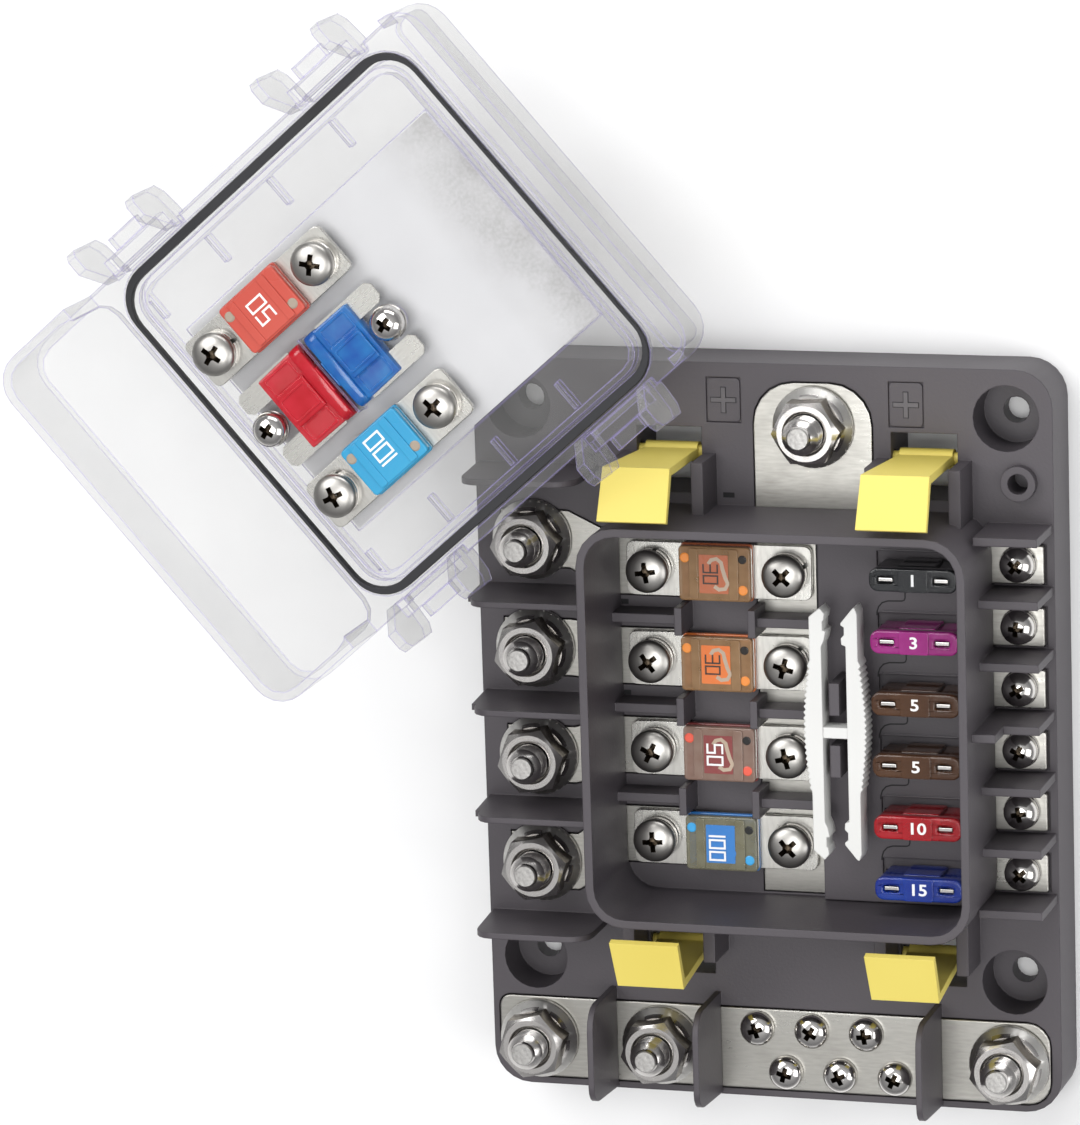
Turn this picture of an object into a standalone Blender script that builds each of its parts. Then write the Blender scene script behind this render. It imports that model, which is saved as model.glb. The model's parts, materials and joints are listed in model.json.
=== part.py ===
"""A 12 volt fuse block: a moulded base with bolt-down fuses, blade fuses, busbars and four latches,
and its clear cover, which lies inner side up beside one corner of the base.

Frame: origin at the middle of the base's back face, +X to the right, +Y to the input stud, +Z out of
the panel. Every solid is built in metres.
"""

import math

import bmesh
import bpy
from mathutils import Matrix

MM = 0.001
GAP = 0.3 * MM

# Base plate
PLATE_X = 127 * MM
PLATE_Y = 162 * MM
PLATE_TOP = 15 * MM
PLATE_CORNER = 8 * MM

# Mounting holes, counterbored from the front
MOUNT_X = 53.5 * MM
MOUNT_YS = (70.5 * MM, -52.3 * MM)
MOUNT_RADIUS = 2.8 * MM
COUNTERBORE_RADIUS = 7.1 * MM
COUNTERBORE_FLOOR = 4.8 * MM

# Walled box round the fuses
BOX_CENTRE = (8.5 * MM, 6.55 * MM)
BOX_X = 84 * MM
BOX_Y = 87.1 * MM
BOX_WALL = 1.8 * MM
BOX_CORNER = 8.5 * MM
RIM = 42 * MM
BOX_LEFT = BOX_CENTRE[0] - BOX_X / 2
BOX_RIGHT = BOX_CENTRE[0] + BOX_X / 2

# Busbars, set flush into the plate
BAR_LOW = 13.4 * MM
BAR_TOP = 15.2 * MM
BAR_HALF_WIDTH = 6.2 * MM

# Terminal studs and flange nuts
STUD_RADIUS = 3.97 * MM
STUD_TIP = 29.2 * MM
STUD_HOLE = STUD_RADIUS + GAP
HEAD_POCKET = 8 * MM
NUT_FLANGE = 8.75 * MM
NUT_FLATS = 13 * MM
NUT_HEIGHT = 8 * MM
INPUT_STUD = (12 * MM, 67.75 * MM)
OUTPUT_X = -51 * MM
OUTPUT_YS = tuple((5.6 + 23.9 * step) * MM for step in (1.5, 0.5, -0.5, -1.5))
NEGATIVE_Y = -70.4 * MM
NEGATIVE_XS = (-52.9 * MM, -25.2 * MM, 52.3 * MM)

# Bolt-down fuses: two holes 30 mm apart
BOLT_PITCH = 30 * MM
BOLT_FUSE_X = -9.25 * MM
BOLT_FUSE_YS = tuple((6.45 + 19.8 * step) * MM for step in (1.5, 0.5, -0.5, -1.5))
TAB_THICK = 1.5 * MM
TAB_HALF_WIDTH = 6 * MM
TAB_HALF_LENGTH = 20.5 * MM
BODY_HALF_LENGTH = 8 * MM
BODY_HALF_WIDTH = 6.25 * MM
BODY_HEIGHT = 5.9 * MM
SCREW_HOLE = 2.8 * MM

# Blade fuses, in a raised deck
BLADE_X = 36.55 * MM
BLADE_YS = tuple((4.94 + 13.41 * step) * MM for step in (2.5, 1.5, 0.5, -0.5, -1.5, -2.5))
BLADE_SPREAD = 7.1 * MM
BLADE_HALF_WIDTH = 2.6 * MM
BLADE_LENGTH = 6.9 * MM
FUSE_HALF_WIDTH = 9.55 * MM
FUSE_HALF_THICK = 2.55 * MM
FUSE_HEIGHT = 12.6 * MM
DECK_LEFT = 13 * MM
DECK_TOP = 18.6 * MM
DECK_POCKET = 0.8 * MM

# Branch terminals, outside the right wall
BRANCH_X = 56.2 * MM
BRANCH_STEP = 1.5 * MM
BRANCH_END = 61.5 * MM
BRANCH_LOW = 14.9 * MM
BRANCH_TOP = 16.7 * MM

# Barriers between the terminals
BARRIER_HALF = 0.65 * MM
RIGHT_BARRIER_HALF = 0.9 * MM
TALL_BARRIER = 34 * MM
LEFT_BARRIER_YS = tuple(y * MM for y in (57.4, 30.8, 6.95, -16.7, -42.5))
BOTTOM_BARRIER_XS = tuple(x * MM for x in (-35.95, -12.4, 36.7))
LOW_BARRIER = 30 * MM

# Negative busbar and its small screws
NEGATIVE_BAR = ((-62 * MM, -79.3 * MM), (61.1 * MM, -61.2 * MM))
SMALL_SCREW_PITCH = 12.1 * MM
SMALL_SCREW_ROWS = ((-3.5 * MM, -65.5 * MM), (2.7 * MM, -75.1 * MM))

# Latches: a hinge low in the plate, a riser and a hook plate
LATCH_SPREAD = 27.9 * MM
LATCH_SHIFT = -0.6 * MM
SLOT_HALF = 7.2 * MM
HINGE_OUT = 54.4 * MM
HINGE_Z = 12 * MM
TRUNNION_RADIUS = 1.5 * MM
LATCH_OUTLINE = (
    (0.8, -1.7), (1.0, 1.5), (2.2, 28.6), (-8.5, 33.4), (-9.0, 32.0), (0.4, 27.2), (-0.8, 2.2),
    (-1.6, 1.0), (-1.6, -1.2),
)
LATCH_FLARE = ((6.0, -4), (6.0, 6), (7.3, 28), (7.7, 36))

# Cover, in its own frame: origin at the middle of its gasket's face, +Z to its outside
COVER_AT = (-69.0 * MM, 95.0 * MM, 57 * MM)
COVER_TURN = math.radians(41.04)
COVER_LEFT = -69 * MM
COVER_RIGHT = 53.2 * MM
COVER_HALF_Y = 46.6 * MM
COVER_WALL = 2 * MM
COVER_CORNER = 7 * MM
WING_TOP = 5 * MM
SKIRT_SLOT_TOP = -7.7 * MM
WIDE_SKIRT = -15 * MM
NARROW_SKIRT = -9 * MM
DOME_TOP = 6 * MM
PANEL_INSIDE = 4 * MM
RING_FACE = 0.4 * MM
GASKET_X = 41.1 * MM
GASKET_Y = 42.65 * MM
GASKET_HALF = 1.3 * MM
GASKET_DEEP = 2.3 * MM
GASKET_CORNER = 7.6 * MM
LUG_SPREAD = 9 * MM
LUG_HALF = 1.1 * MM
LUG_OUT = 54.4 * MM
LUG_LOW = -14.5 * MM
SPARE_X = -17.2 * MM
SPARE_Y = 19.6 * MM
SPARE_BLADE_X = -16.3 * MM
SPARE_SCREW_OUT = 4.6 * MM
LABEL_X = 72 * MM
LABEL_Y = 55.4 * MM


def clear_scene():
    for old in list(bpy.data.objects):
        bpy.data.objects.remove(old)


def make_collection(name, parent, hidden=False):
    made = bpy.data.collections.new(name)
    parent.children.link(made)
    made.hide_render = hidden
    return made


def make_material(name, colour, roughness, metallic=0.0, alpha=1.0):
    made = bpy.data.materials.new(name)
    made.use_nodes = True
    shader = made.node_tree.nodes["Principled BSDF"]
    shader.inputs["Base Color"].default_value = (*colour, 1.0)
    shader.inputs["Roughness"].default_value = roughness
    shader.inputs["Metallic"].default_value = metallic
    shader.inputs["Alpha"].default_value = alpha
    made.diffuse_color = (*colour, alpha)
    return made


def finish_object(name, mesh, collection, material=None):
    """Links a mesh as an object; a helper, in the hidden collection, shows as wire."""
    made = bpy.data.objects.new(name, mesh)
    collection.objects.link(made)
    if material:
        mesh.materials.append(material)
    else:
        made.hide_render = True
        made.display_type = "WIRE"
    return made


def mesh_from(name, fill):
    """A mesh that the function fill builds in a bmesh."""
    mesh = bpy.data.meshes.new(name)
    work = bmesh.new()
    fill(work)
    bmesh.ops.recalc_face_normals(work, faces=work.faces)
    work.to_mesh(mesh)
    work.free()
    return mesh


def block_mesh(name, low, high, corner=0.0, segments=5):
    """A box between two corners, with its upright edges rounded to the radius corner."""
    size = [b - a for a, b in zip(low, high)]
    middle = [(a + b) / 2 for a, b in zip(low, high)]

    def fill(work):
        place = Matrix.Translation(middle) @ Matrix.Diagonal((*size, 1.0))
        bmesh.ops.create_cube(work, size=1.0, matrix=place)
        if corner:
            upright = [e for e in work.edges if abs(e.verts[0].co.z - e.verts[1].co.z) > size[2] / 2]
            bmesh.ops.bevel(work, geom=upright, offset=corner, segments=segments, profile=0.5,
                            affect="EDGES")

    return mesh_from(name, fill)


def rod_mesh(name, centre, radius, low, high, sides=24, axis="Z"):
    """A cylinder along Z or X. On Z, low and high are heights; on X, they are places along X."""
    def fill(work):
        turn = Matrix.Rotation(math.pi / 2, 4, "Y") if axis == "X" else Matrix.Identity(4)
        along = (low + high) / 2
        place = (centre[0], centre[1], along) if axis == "Z" else (along, centre[0], centre[1])
        bmesh.ops.create_cone(work, cap_ends=True, segments=sides, radius1=radius, radius2=radius,
                              depth=high - low, matrix=Matrix.Translation(place) @ turn)

    return mesh_from(name, fill)


def outline_mesh(name, loops, low, high, plane="XY"):
    """A flat outline with holes, given thickness. It lies in plane, and low and high are along the
    third axis."""
    curve = bpy.data.curves.new(name, "CURVE")
    curve.dimensions = "2D"
    curve.fill_mode = "BOTH"
    curve.extrude = (high - low) / 2
    for loop in loops:
        spline = curve.splines.new("POLY")
        spline.points.add(len(loop) - 1)
        for point, (u, v) in zip(spline.points, loop):
            point.co = (u, v, 0, 1)
        spline.use_cyclic_u = True
    holder = bpy.data.objects.new(name, curve)
    bpy.context.scene.collection.objects.link(holder)
    graph = bpy.context.evaluated_depsgraph_get()
    mesh = bpy.data.meshes.new_from_object(holder.evaluated_get(graph))
    bpy.data.objects.remove(holder)
    bpy.data.curves.remove(curve)
    middle = (low + high) / 2
    turns = {
        "XY": Matrix.Translation((0, 0, middle)),
        "XZ": Matrix.Translation((0, middle, 0)) @ Matrix.Rotation(math.pi / 2, 4, "X"),
        "YZ": Matrix.Translation((middle, 0, 0)) @ Matrix(((0, 0, 1, 0), (1, 0, 0, 0),
                                                            (0, 1, 0, 0), (0, 0, 0, 1))),
    }
    work = bmesh.new()
    work.from_mesh(mesh)
    bmesh.ops.remove_doubles(work, verts=work.verts, dist=1e-6)
    bmesh.ops.transform(work, matrix=turns[plane], verts=work.verts)
    bmesh.ops.recalc_face_normals(work, faces=work.faces)
    work.to_mesh(mesh)
    work.free()
    mesh.name = name
    return mesh


def turned(name, profile, collection, material=None, steps=14):
    """A profile of (radius, height), listed from the top down, turned about Z."""
    mesh = bpy.data.meshes.new(name)
    mesh.from_pydata([(r, 0, z) for r, z in profile], [(i, i + 1) for i in range(len(profile) - 1)], [])
    made = finish_object(name, mesh, collection, material)
    screw = made.modifiers.new("turn", "SCREW")
    screw.steps = steps
    screw.render_steps = steps
    screw.use_merge_vertices = True
    screw.merge_threshold = 0.00001
    screw.use_smooth_shade = True
    return made


def boolean(target, other, operation="DIFFERENCE"):
    made = target.modifiers.new(operation.lower(), "BOOLEAN")
    made.operation = operation
    made.solver = "EXACT"
    if isinstance(other, bpy.types.Collection):
        made.operand_type = "COLLECTION"
        made.collection = other
    else:
        made.object = other


def circle(centre, radius, sides=16):
    steps = [2 * math.pi * i / sides for i in range(sides)]
    return [(centre[0] + radius * math.cos(a), centre[1] + radius * math.sin(a)) for a in steps]


def rectangle(low, high):
    return [low, (high[0], low[1]), high, (low[0], high[1])]


def arc(centre, radius, start, end, steps=5):
    """Points on a circle from angle start to angle end, in degrees."""
    angles = [math.radians(start + (end - start) * i / steps) for i in range(steps + 1)]
    return [(centre[0] + radius * math.cos(a), centre[1] + radius * math.sin(a)) for a in angles]


def ring_pair(name, half, corner, width, low, high, collection, centre=(0, 0), outside=None):
    """A rounded rectangular wall: half is the half size of its outer side. With outside, the wall
    reaches out to that half size instead, with square corners."""
    outer_half = outside or half
    inner_half = half if outside else (half[0] - width, half[1] - width)
    outer_corner = 0.0 if outside else corner
    inner_corner = corner if outside else corner - width
    x, y = centre
    outer = block_mesh(name, (x - outer_half[0], y - outer_half[1], low),
                       (x + outer_half[0], y + outer_half[1], high), outer_corner)
    inner = block_mesh(name + "_inside", (x - inner_half[0], y - inner_half[1], low - MM),
                       (x + inner_half[0], y + inner_half[1], high + MM), inner_corner)
    wall = finish_object(name, outer, collection)
    hole = finish_object(name + "_inside", inner, helpers)
    boolean(wall, hole)
    return wall


def barrier_profile(inner, outer, height, step=0.0, inside=0.0):
    """The side view of a barrier: it leans in as it rises to a round corner at outer, over a step if
    there is one, and inside is the radius of its corner at inner."""
    way = 1 if outer > inner else -1
    radius = 4 * MM
    foot = PLATE_TOP - MM
    edge = outer - way * (1.2 * MM + step)
    shoulder = height - radius
    top = arc((edge - way * radius, shoulder), radius, 90, 0 if way > 0 else 180, 4)
    start = [(inner, height)]
    if inside:
        start = arc((inner + way * inside, height - inside), inside, 180 if way > 0 else 0, 90, 4)
    ledge = [(edge, shoulder - MM), (edge + way * step, shoulder - MM)] if step else []
    return [(inner, foot)] + start + top + ledge + [(outer, foot)]


def output_bar_loop(stud_y, fuse_y, grow=0.0):
    """The outline of an output busbar, from its stud to its fuse screw."""
    half = BAR_HALF_WIDTH + grow
    start, bend_a, bend_b, end = (x * MM for x in (-58, -43, -32, -17))
    start -= grow
    end += grow
    return [(start, stud_y - half), (bend_a, stud_y - half), (bend_b, fuse_y - half),
            (end, fuse_y - half), (end, fuse_y + half), (bend_b, fuse_y + half),
            (bend_a, stud_y + half), (start, stud_y + half)]


def positive_bar_loop(grow=0.0):
    """The input tab, with a round top, and the plate that feeds the fuses."""
    left, tab_right, right = -1.2 * MM - grow, 24.5 * MM + grow, 34.2 * MM + grow
    top, shoulder, bottom = 77 * MM + grow, 47 * MM + grow, -34.5 * MM - grow
    radius = 9 * MM
    corner_left = arc((left + radius, top - radius), radius, 180, 90)
    corner_right = arc((tab_right - radius, top - radius), radius, 90, 0)
    return ([(left, bottom)] + corner_left + corner_right
            + [(tab_right, shoulder), (right, shoulder), (right, bottom)])


def negative_bar_loop(grow=0.0):
    (left, low), (right, top) = NEGATIVE_BAR
    corners = ((left, low, 8.5, 180), (right, low, 5, 270), (right, top, 5, 0), (left, top, 2.5, 90))
    loop = []
    for x, y, radius, start in corners:
        radius *= MM
        middle = (x + (radius if x == left else -radius), y + (radius if y == low else -radius))
        loop += arc(middle, radius + grow, start, start + 90, 4)
    return loop


def branch_ys(fuse_y):
    """The lower edge, the upper edge and the screw of the branch terminal of one blade fuse."""
    screw = fuse_y + BRANCH_STEP
    return screw - 4.5 * MM, screw + 3.6 * MM, screw


def add_base_pieces(additions):
    """What stands on the plate."""
    ring_pair("box_wall", (BOX_X / 2, BOX_Y / 2), BOX_CORNER, BOX_WALL, PLATE_TOP - MM, RIM, additions,
              BOX_CENTRE)
    for index, y in enumerate(LEFT_BARRIER_YS):
        if index in (0, len(LEFT_BARRIER_YS) - 1):
            side = barrier_profile(-36 * MM, -62.9 * MM, TALL_BARRIER, inside=5 * MM)
        else:
            side = barrier_profile(BOX_LEFT + MM, -62.9 * MM, TALL_BARRIER, step=1.1 * MM)
        mesh = outline_mesh("left_barrier", [side], y - BARRIER_HALF, y + BARRIER_HALF, "XZ")
        finish_object("left_barrier", mesh, additions)
    for x in BOTTOM_BARRIER_XS:
        side = barrier_profile(-57.9 * MM, -80.6 * MM, TALL_BARRIER, inside=5 * MM)
        mesh = outline_mesh("bottom_barrier", [side], x - BARRIER_HALF, x + BARRIER_HALF, "YZ")
        finish_object("bottom_barrier", mesh, additions)
    edges = [BLADE_YS[0] + 8.8 * MM] + [y - 4.6 * MM for y in BLADE_YS]
    for index, y in enumerate(edges):
        low = (BOX_RIGHT - MM, y - RIGHT_BARRIER_HALF, PLATE_TOP - MM)
        high = (63.1 * MM, y + RIGHT_BARRIER_HALF, LOW_BARRIER)
        finish_object("right_barrier", block_mesh("right_barrier", low, high), additions)
        if index == 3:
            tall = (55.5 * MM, y + RIGHT_BARRIER_HALF, 38 * MM)
            mesh = block_mesh("middle_barrier", (low[0] - 0.2 * MM, low[1], low[2]), tall)
            finish_object("middle_barrier", mesh, additions)
    for upper, lower in zip(BOLT_FUSE_YS, BOLT_FUSE_YS[1:]):
        y = (upper + lower) / 2
        inside = BOX_LEFT + BOX_WALL / 2
        for low_x, high_x, half, top in ((inside, -17 * MM, MM, 22 * MM),
                                         (-17.4 * MM, -15.8 * MM, 3 * MM, 24 * MM)):
            mesh = block_mesh("fuse_rib", (low_x, y - half, PLATE_TOP - MM), (high_x, y + half, top))
            finish_object("fuse_rib", mesh, additions)
    for x, way in LATCH_PLACES:
        for side in (-1, 1):
            inner = x + side * (SLOT_HALF + 0.5 * MM)
            outer = inner + side * 2.6 * MM
            near = BOX_CENTRE[1] + way * (BOX_Y / 2 - MM)
            far = BOX_CENTRE[1] + way * 54.8 * MM
            low = (min(inner, outer), min(near, far), PLATE_TOP - MM)
            high = (max(inner, outer), max(near, far), 26 * MM)
            finish_object("latch_cheek", block_mesh("latch_cheek", low, high), additions)
    mesh = rod_mesh("corner_boss", (56.3 * MM, 57 * MM), 3.8 * MM, PLATE_TOP - MM, 17.2 * MM, 20)
    finish_object("corner_boss", mesh, additions)


def cut_base(cuts):
    """Holes, slots and busbar beds."""
    for side in (-1, 1):
        for y in MOUNT_YS:
            place = (side * MOUNT_X, y)
            hole = rod_mesh("mount_hole", place, MOUNT_RADIUS, -MM, PLATE_TOP, 16)
            bore = rod_mesh("counterbore", place, COUNTERBORE_RADIUS, COUNTERBORE_FLOOR, PLATE_TOP + MM, 24)
            finish_object("mount_hole", hole, cuts)
            finish_object("counterbore", bore, cuts)
    for place in STUD_PLACES:
        finish_object("stud_hole", rod_mesh("stud_hole", place, STUD_HOLE, 8 * MM, PLATE_TOP + MM, 16), cuts)
        finish_object("head_pocket", rod_mesh("head_pocket", place, HEAD_POCKET, -MM, 8.9 * MM, 16), cuts)
    for x, way in LATCH_PLACES:
        near = BOX_CENTRE[1] + way * 46 * MM
        far = BOX_CENTRE[1] + way * 60.4 * MM
        half = SLOT_HALF
        low = (x - half, min(near, far), -MM)
        high = (x + half, max(near, far), PLATE_TOP + MM)
        finish_object("latch_slot", block_mesh("latch_slot", low, high), cuts)
        hinge = (BOX_CENTRE[1] + way * HINGE_OUT, HINGE_Z)
        mesh = rod_mesh("hinge_hole", hinge, TRUNNION_RADIUS + GAP, x - half - 2.2 * MM,
                        x + half + 2.2 * MM, 16, "X")
        finish_object("hinge_hole", mesh, cuts)
    bed = (BAR_LOW - GAP, BAR_TOP + GAP)
    for stud_y, fuse_y in zip(OUTPUT_YS, BOLT_FUSE_YS):
        mesh = outline_mesh("output_bed", [output_bar_loop(stud_y, fuse_y, GAP)], *bed)
        finish_object("output_bed", mesh, cuts)
        for x in (-BOLT_PITCH / 2, BOLT_PITCH / 2):
            place = (BOLT_FUSE_X + x, fuse_y)
            mesh = rod_mesh("screw_hole", place, SCREW_HOLE, 10.8 * MM, 14 * MM, 12)
            finish_object("screw_hole", mesh, cuts)
    finish_object("positive_bed", outline_mesh("positive_bed", [positive_bar_loop(GAP)], *bed), cuts)
    finish_object("negative_bed", outline_mesh("negative_bed", [negative_bar_loop(GAP)], *bed), cuts)
    for x in (BLADE_X - BLADE_SPREAD, BLADE_X + BLADE_SPREAD):
        reach = BLADE_HALF_WIDTH + 0.6 * MM
        low = (x - reach, BLADE_YS[-1] - 3 * MM, 10.8 * MM)
        high = (x + reach, BLADE_YS[0] + 3 * MM, PLATE_TOP + MM)
        finish_object("blade_channel", block_mesh("blade_channel", low, high), cuts)
    for y in BLADE_YS:
        low_y, high_y, screw_y = branch_ys(y)
        low = (38.9 * MM, low_y - GAP, BRANCH_LOW - GAP)
        high = (BRANCH_END + GAP, high_y + GAP, BRANCH_TOP + GAP)
        finish_object("branch_bed", block_mesh("branch_bed", low, high), cuts)
        hole = rod_mesh("branch_hole", (BRANCH_X, screw_y), 2.4 * MM, 10.5 * MM, PLATE_TOP, 10)
        finish_object("branch_hole", hole, cuts)
    for x, y in SMALL_SCREWS:
        finish_object("small_hole", rod_mesh("small_hole", (x, y), 2.4 * MM, 10.5 * MM, 14 * MM, 10), cuts)
    for x in (-7.8 * MM, 32.0 * MM):
        low = (x - 3.8 * MM, 68.0 * MM, PLATE_TOP - 0.6 * MM)
        high = (x + 3.8 * MM, 77.8 * MM, PLATE_TOP + MM)
        finish_object("mark_recess", block_mesh("mark_recess", low, high), cuts)
    boss_hole = rod_mesh("boss_hole", (56.3 * MM, 57 * MM), 2.2 * MM, 10 * MM, 18 * MM, 16)
    finish_object("boss_hole", boss_hole, cuts)


def make_base():
    additions = make_collection("base_additions", helpers, hidden=True)
    cuts = make_collection("base_cuts", helpers, hidden=True)
    add_base_pieces(additions)
    cut_base(cuts)
    low = (-PLATE_X / 2, -PLATE_Y / 2, 0)
    high = (PLATE_X / 2, PLATE_Y / 2, PLATE_TOP)
    mesh = block_mesh("base_housing", low, high, PLATE_CORNER, 6)
    base = finish_object("base_housing", mesh, parts, charcoal)
    boolean(base, additions, "UNION")
    boolean(base, cuts)


def make_deck():
    """The raised insert that the blade fuses plug into, with a post for the fuse puller."""
    inside_x = BOX_RIGHT - BOX_WALL - GAP
    inside_y = BOX_Y / 2 - BOX_WALL - GAP
    low = (DECK_LEFT, BOX_CENTRE[1] - inside_y, BAR_TOP + GAP)
    high = (inside_x, BOX_CENTRE[1] + inside_y, DECK_TOP)
    deck = finish_object("fuse_deck", block_mesh("fuse_deck", low, high, 0), parts, charcoal)
    rounding = block_mesh("deck_outline", (DECK_LEFT - 40 * MM, low[1], 10 * MM),
                          (inside_x, high[1], 40 * MM),
                          BOX_CORNER - BOX_WALL - GAP)
    boolean(deck, finish_object("deck_outline", rounding, helpers), "INTERSECT")
    cuts = make_collection("deck_cuts", helpers, hidden=True)
    for y in BLADE_YS:
        pocket_low = (BLADE_X - 10.6 * MM, y - 3.6 * MM, DECK_TOP - DECK_POCKET)
        pocket_high = (BLADE_X + 10.6 * MM, y + 3.6 * MM, DECK_TOP + MM)
        finish_object("fuse_pocket", block_mesh("fuse_pocket", pocket_low, pocket_high), cuts)
        for x in (BLADE_X - BLADE_SPREAD, BLADE_X + BLADE_SPREAD):
            slot_low = (x - BLADE_HALF_WIDTH - 0.4 * MM, y - 0.9 * MM, 10 * MM)
            slot_high = (x + BLADE_HALF_WIDTH + 0.4 * MM, y + 0.9 * MM, DECK_TOP + MM)
            finish_object("blade_slot", block_mesh("blade_slot", slot_low, slot_high), cuts)
        low_y, high_y, screw_y = branch_ys(y)
        bed_low = (38.9 * MM, low_y - GAP, 10 * MM)
        bed_high = (50 * MM, high_y + GAP, BRANCH_TOP + GAP)
        finish_object("branch_channel", block_mesh("branch_channel", bed_low, bed_high), cuts)
    boolean(deck, cuts)
    posts = make_collection("deck_posts", helpers, hidden=True)
    for low_y, high_y in ((-5 * MM, 2 * MM), (8.5 * MM, 15.5 * MM)):
        post = block_mesh("puller_post", (17.7 * MM, low_y, DECK_TOP - MM), (19.9 * MM, high_y, 29.5 * MM))
        finish_object("puller_post", post, posts)
    for upper, lower in zip(BOLT_FUSE_YS, BOLT_FUSE_YS[1:]):
        y = (upper + lower) / 2
        for low_x, high_x, half, top in ((-0.6 * MM, 14 * MM, MM, 22 * MM),
                                         (-1.2 * MM, 0.4 * MM, 3 * MM, 24 * MM)):
            mesh = block_mesh("deck_rib", (low_x, y - half, BAR_TOP + GAP), (high_x, y + half, top))
            finish_object("deck_rib", mesh, posts)
    boolean(deck, posts, "UNION")


def make_busbars():
    slots = [rectangle((BLADE_X - BLADE_SPREAD - 3 * MM, y - 0.9 * MM),
                       (BLADE_X - BLADE_SPREAD + 3 * MM, y + 0.9 * MM)) for y in BLADE_YS]
    right = BOLT_FUSE_X + BOLT_PITCH / 2
    screw_holes = [circle((right, y), SCREW_HOLE) for y in BOLT_FUSE_YS]
    loops = [positive_bar_loop(), circle(INPUT_STUD, STUD_HOLE)] + screw_holes + slots
    mesh = outline_mesh("positive_busbar", loops, BAR_LOW, BAR_TOP)
    finish_object("positive_busbar", mesh, parts, tinned)
    for index, (stud_y, fuse_y) in enumerate(zip(OUTPUT_YS, BOLT_FUSE_YS), 1):
        name = f"output_busbar_{index}"
        loops = [output_bar_loop(stud_y, fuse_y), circle((OUTPUT_X, stud_y), STUD_HOLE),
                 circle((BOLT_FUSE_X - BOLT_PITCH / 2, fuse_y), SCREW_HOLE)]
        finish_object(name, outline_mesh(name, loops, BAR_LOW, BAR_TOP), parts, tinned)
    loops = [negative_bar_loop()] + [circle((x, NEGATIVE_Y), STUD_HOLE) for x in NEGATIVE_XS]
    bar = finish_object("negative_busbar", outline_mesh("negative_busbar", loops, BAR_LOW, BAR_TOP),
                        parts, tinned)
    screws = make_collection("negative_screws", helpers, hidden=True)
    for x, y in SMALL_SCREWS:
        turned("small_screw", pan_screw(3.95, 3.0, 2.0, 3.9, 0, sink=0.4), screws).location = (x, y, BAR_TOP)
    boolean(bar, screws, "UNION")


def pan_screw(head, height, shank, length, washer=0.0, washer_radius=4.5, sink=0.0):
    """The profile of a pan-head screw over a washer, in millimetres, from the top of its head down.
    Its underside is at height 0; sink lowers it into the piece that it is joined to."""
    top = washer + height - sink
    profile = [(0, top), (head * 0.55, top - 0.25), (head * 0.88, top - height * 0.4),
               (head, top - height * 0.75)]
    if washer:
        profile += [(head, washer), (washer_radius, washer), (washer_radius, -sink)]
    else:
        profile += [(head, -sink)]
    profile += [(shank, -sink), (shank, -length), (0, -length)]
    return [(r * MM, z * MM) for r, z in profile]


def stud_profile():
    head, neck, thread, tip = (z * MM for z in (5.6, 8.6, 27.6, 29.2))
    wide = STUD_RADIUS
    point = 2.7 * MM
    return [(0, tip), (point, tip), (point, thread + 0.5 * MM), (wide, thread - 0.6 * MM), (wide, neck),
            (7 * MM, neck), (7 * MM, head), (0, head)]


def nut_parts(name, place):
    """A hexagon over a flange, bored for its stud."""
    base = BAR_TOP + GAP
    flange = [(0, 3.4), (6.4, 3.2), (8.4, 1.3), (8.75, 0.9), (8.75, 0), (0, 0)]
    profile = [(r * MM, z * MM) for r, z in flange]
    nut = turned(name, profile, parts, steel, steps=18)
    nut.location = (place[0], place[1], base)
    hexagon = rod_mesh(name + "_hexagon", (0, 0), NUT_FLATS / math.sqrt(3), 1.5 * MM, NUT_HEIGHT, 6)
    hexagon = finish_object(name + "_hexagon", hexagon, helpers)
    hexagon.location = nut.location
    bore_mesh = rod_mesh(name + "_bore", (0, 0), STUD_HOLE, -MM, 10 * MM, 16)
    bore = finish_object(name + "_bore", bore_mesh, helpers)
    bore.location = nut.location
    boolean(nut, hexagon, "UNION")
    boolean(nut, bore)


def make_terminals():
    names = (["input"] + [f"output_{i}" for i in range(1, 5)] + [f"negative_{i}" for i in range(1, 4)])
    for name, place in zip(names, STUD_PLACES):
        stud = turned(name + "_stud", stud_profile(), parts, steel, steps=16)
        stud.location = (place[0], place[1], 0)
        nut_parts(name + "_nut", place)


def bolt_fuse_mesh(name):
    """The metal strip of a bolt-down fuse, with its two holes."""
    side = rectangle((-TAB_HALF_LENGTH, -TAB_HALF_WIDTH), (TAB_HALF_LENGTH, TAB_HALF_WIDTH))
    holes = [circle((x, 0), SCREW_HOLE) for x in (-BOLT_PITCH / 2, BOLT_PITCH / 2)]
    return outline_mesh(name, [side] + holes, 0, TAB_THICK)


def bolt_fuse(name, material, collection=None):
    """A bolt-down fuse: the strip and the block over its link. Its origin is under the block."""
    fuse = finish_object(name, bolt_fuse_mesh(name), collection or parts, material)
    body = block_mesh(name + "_body", (-BODY_HALF_LENGTH, -BODY_HALF_WIDTH, 0),
                      (BODY_HALF_LENGTH, BODY_HALF_WIDTH, BODY_HEIGHT), 0.8 * MM, 2)
    body = finish_object(name + "_body", body, helpers)
    body.parent = fuse
    boolean(fuse, body, "UNION")
    return fuse


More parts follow.
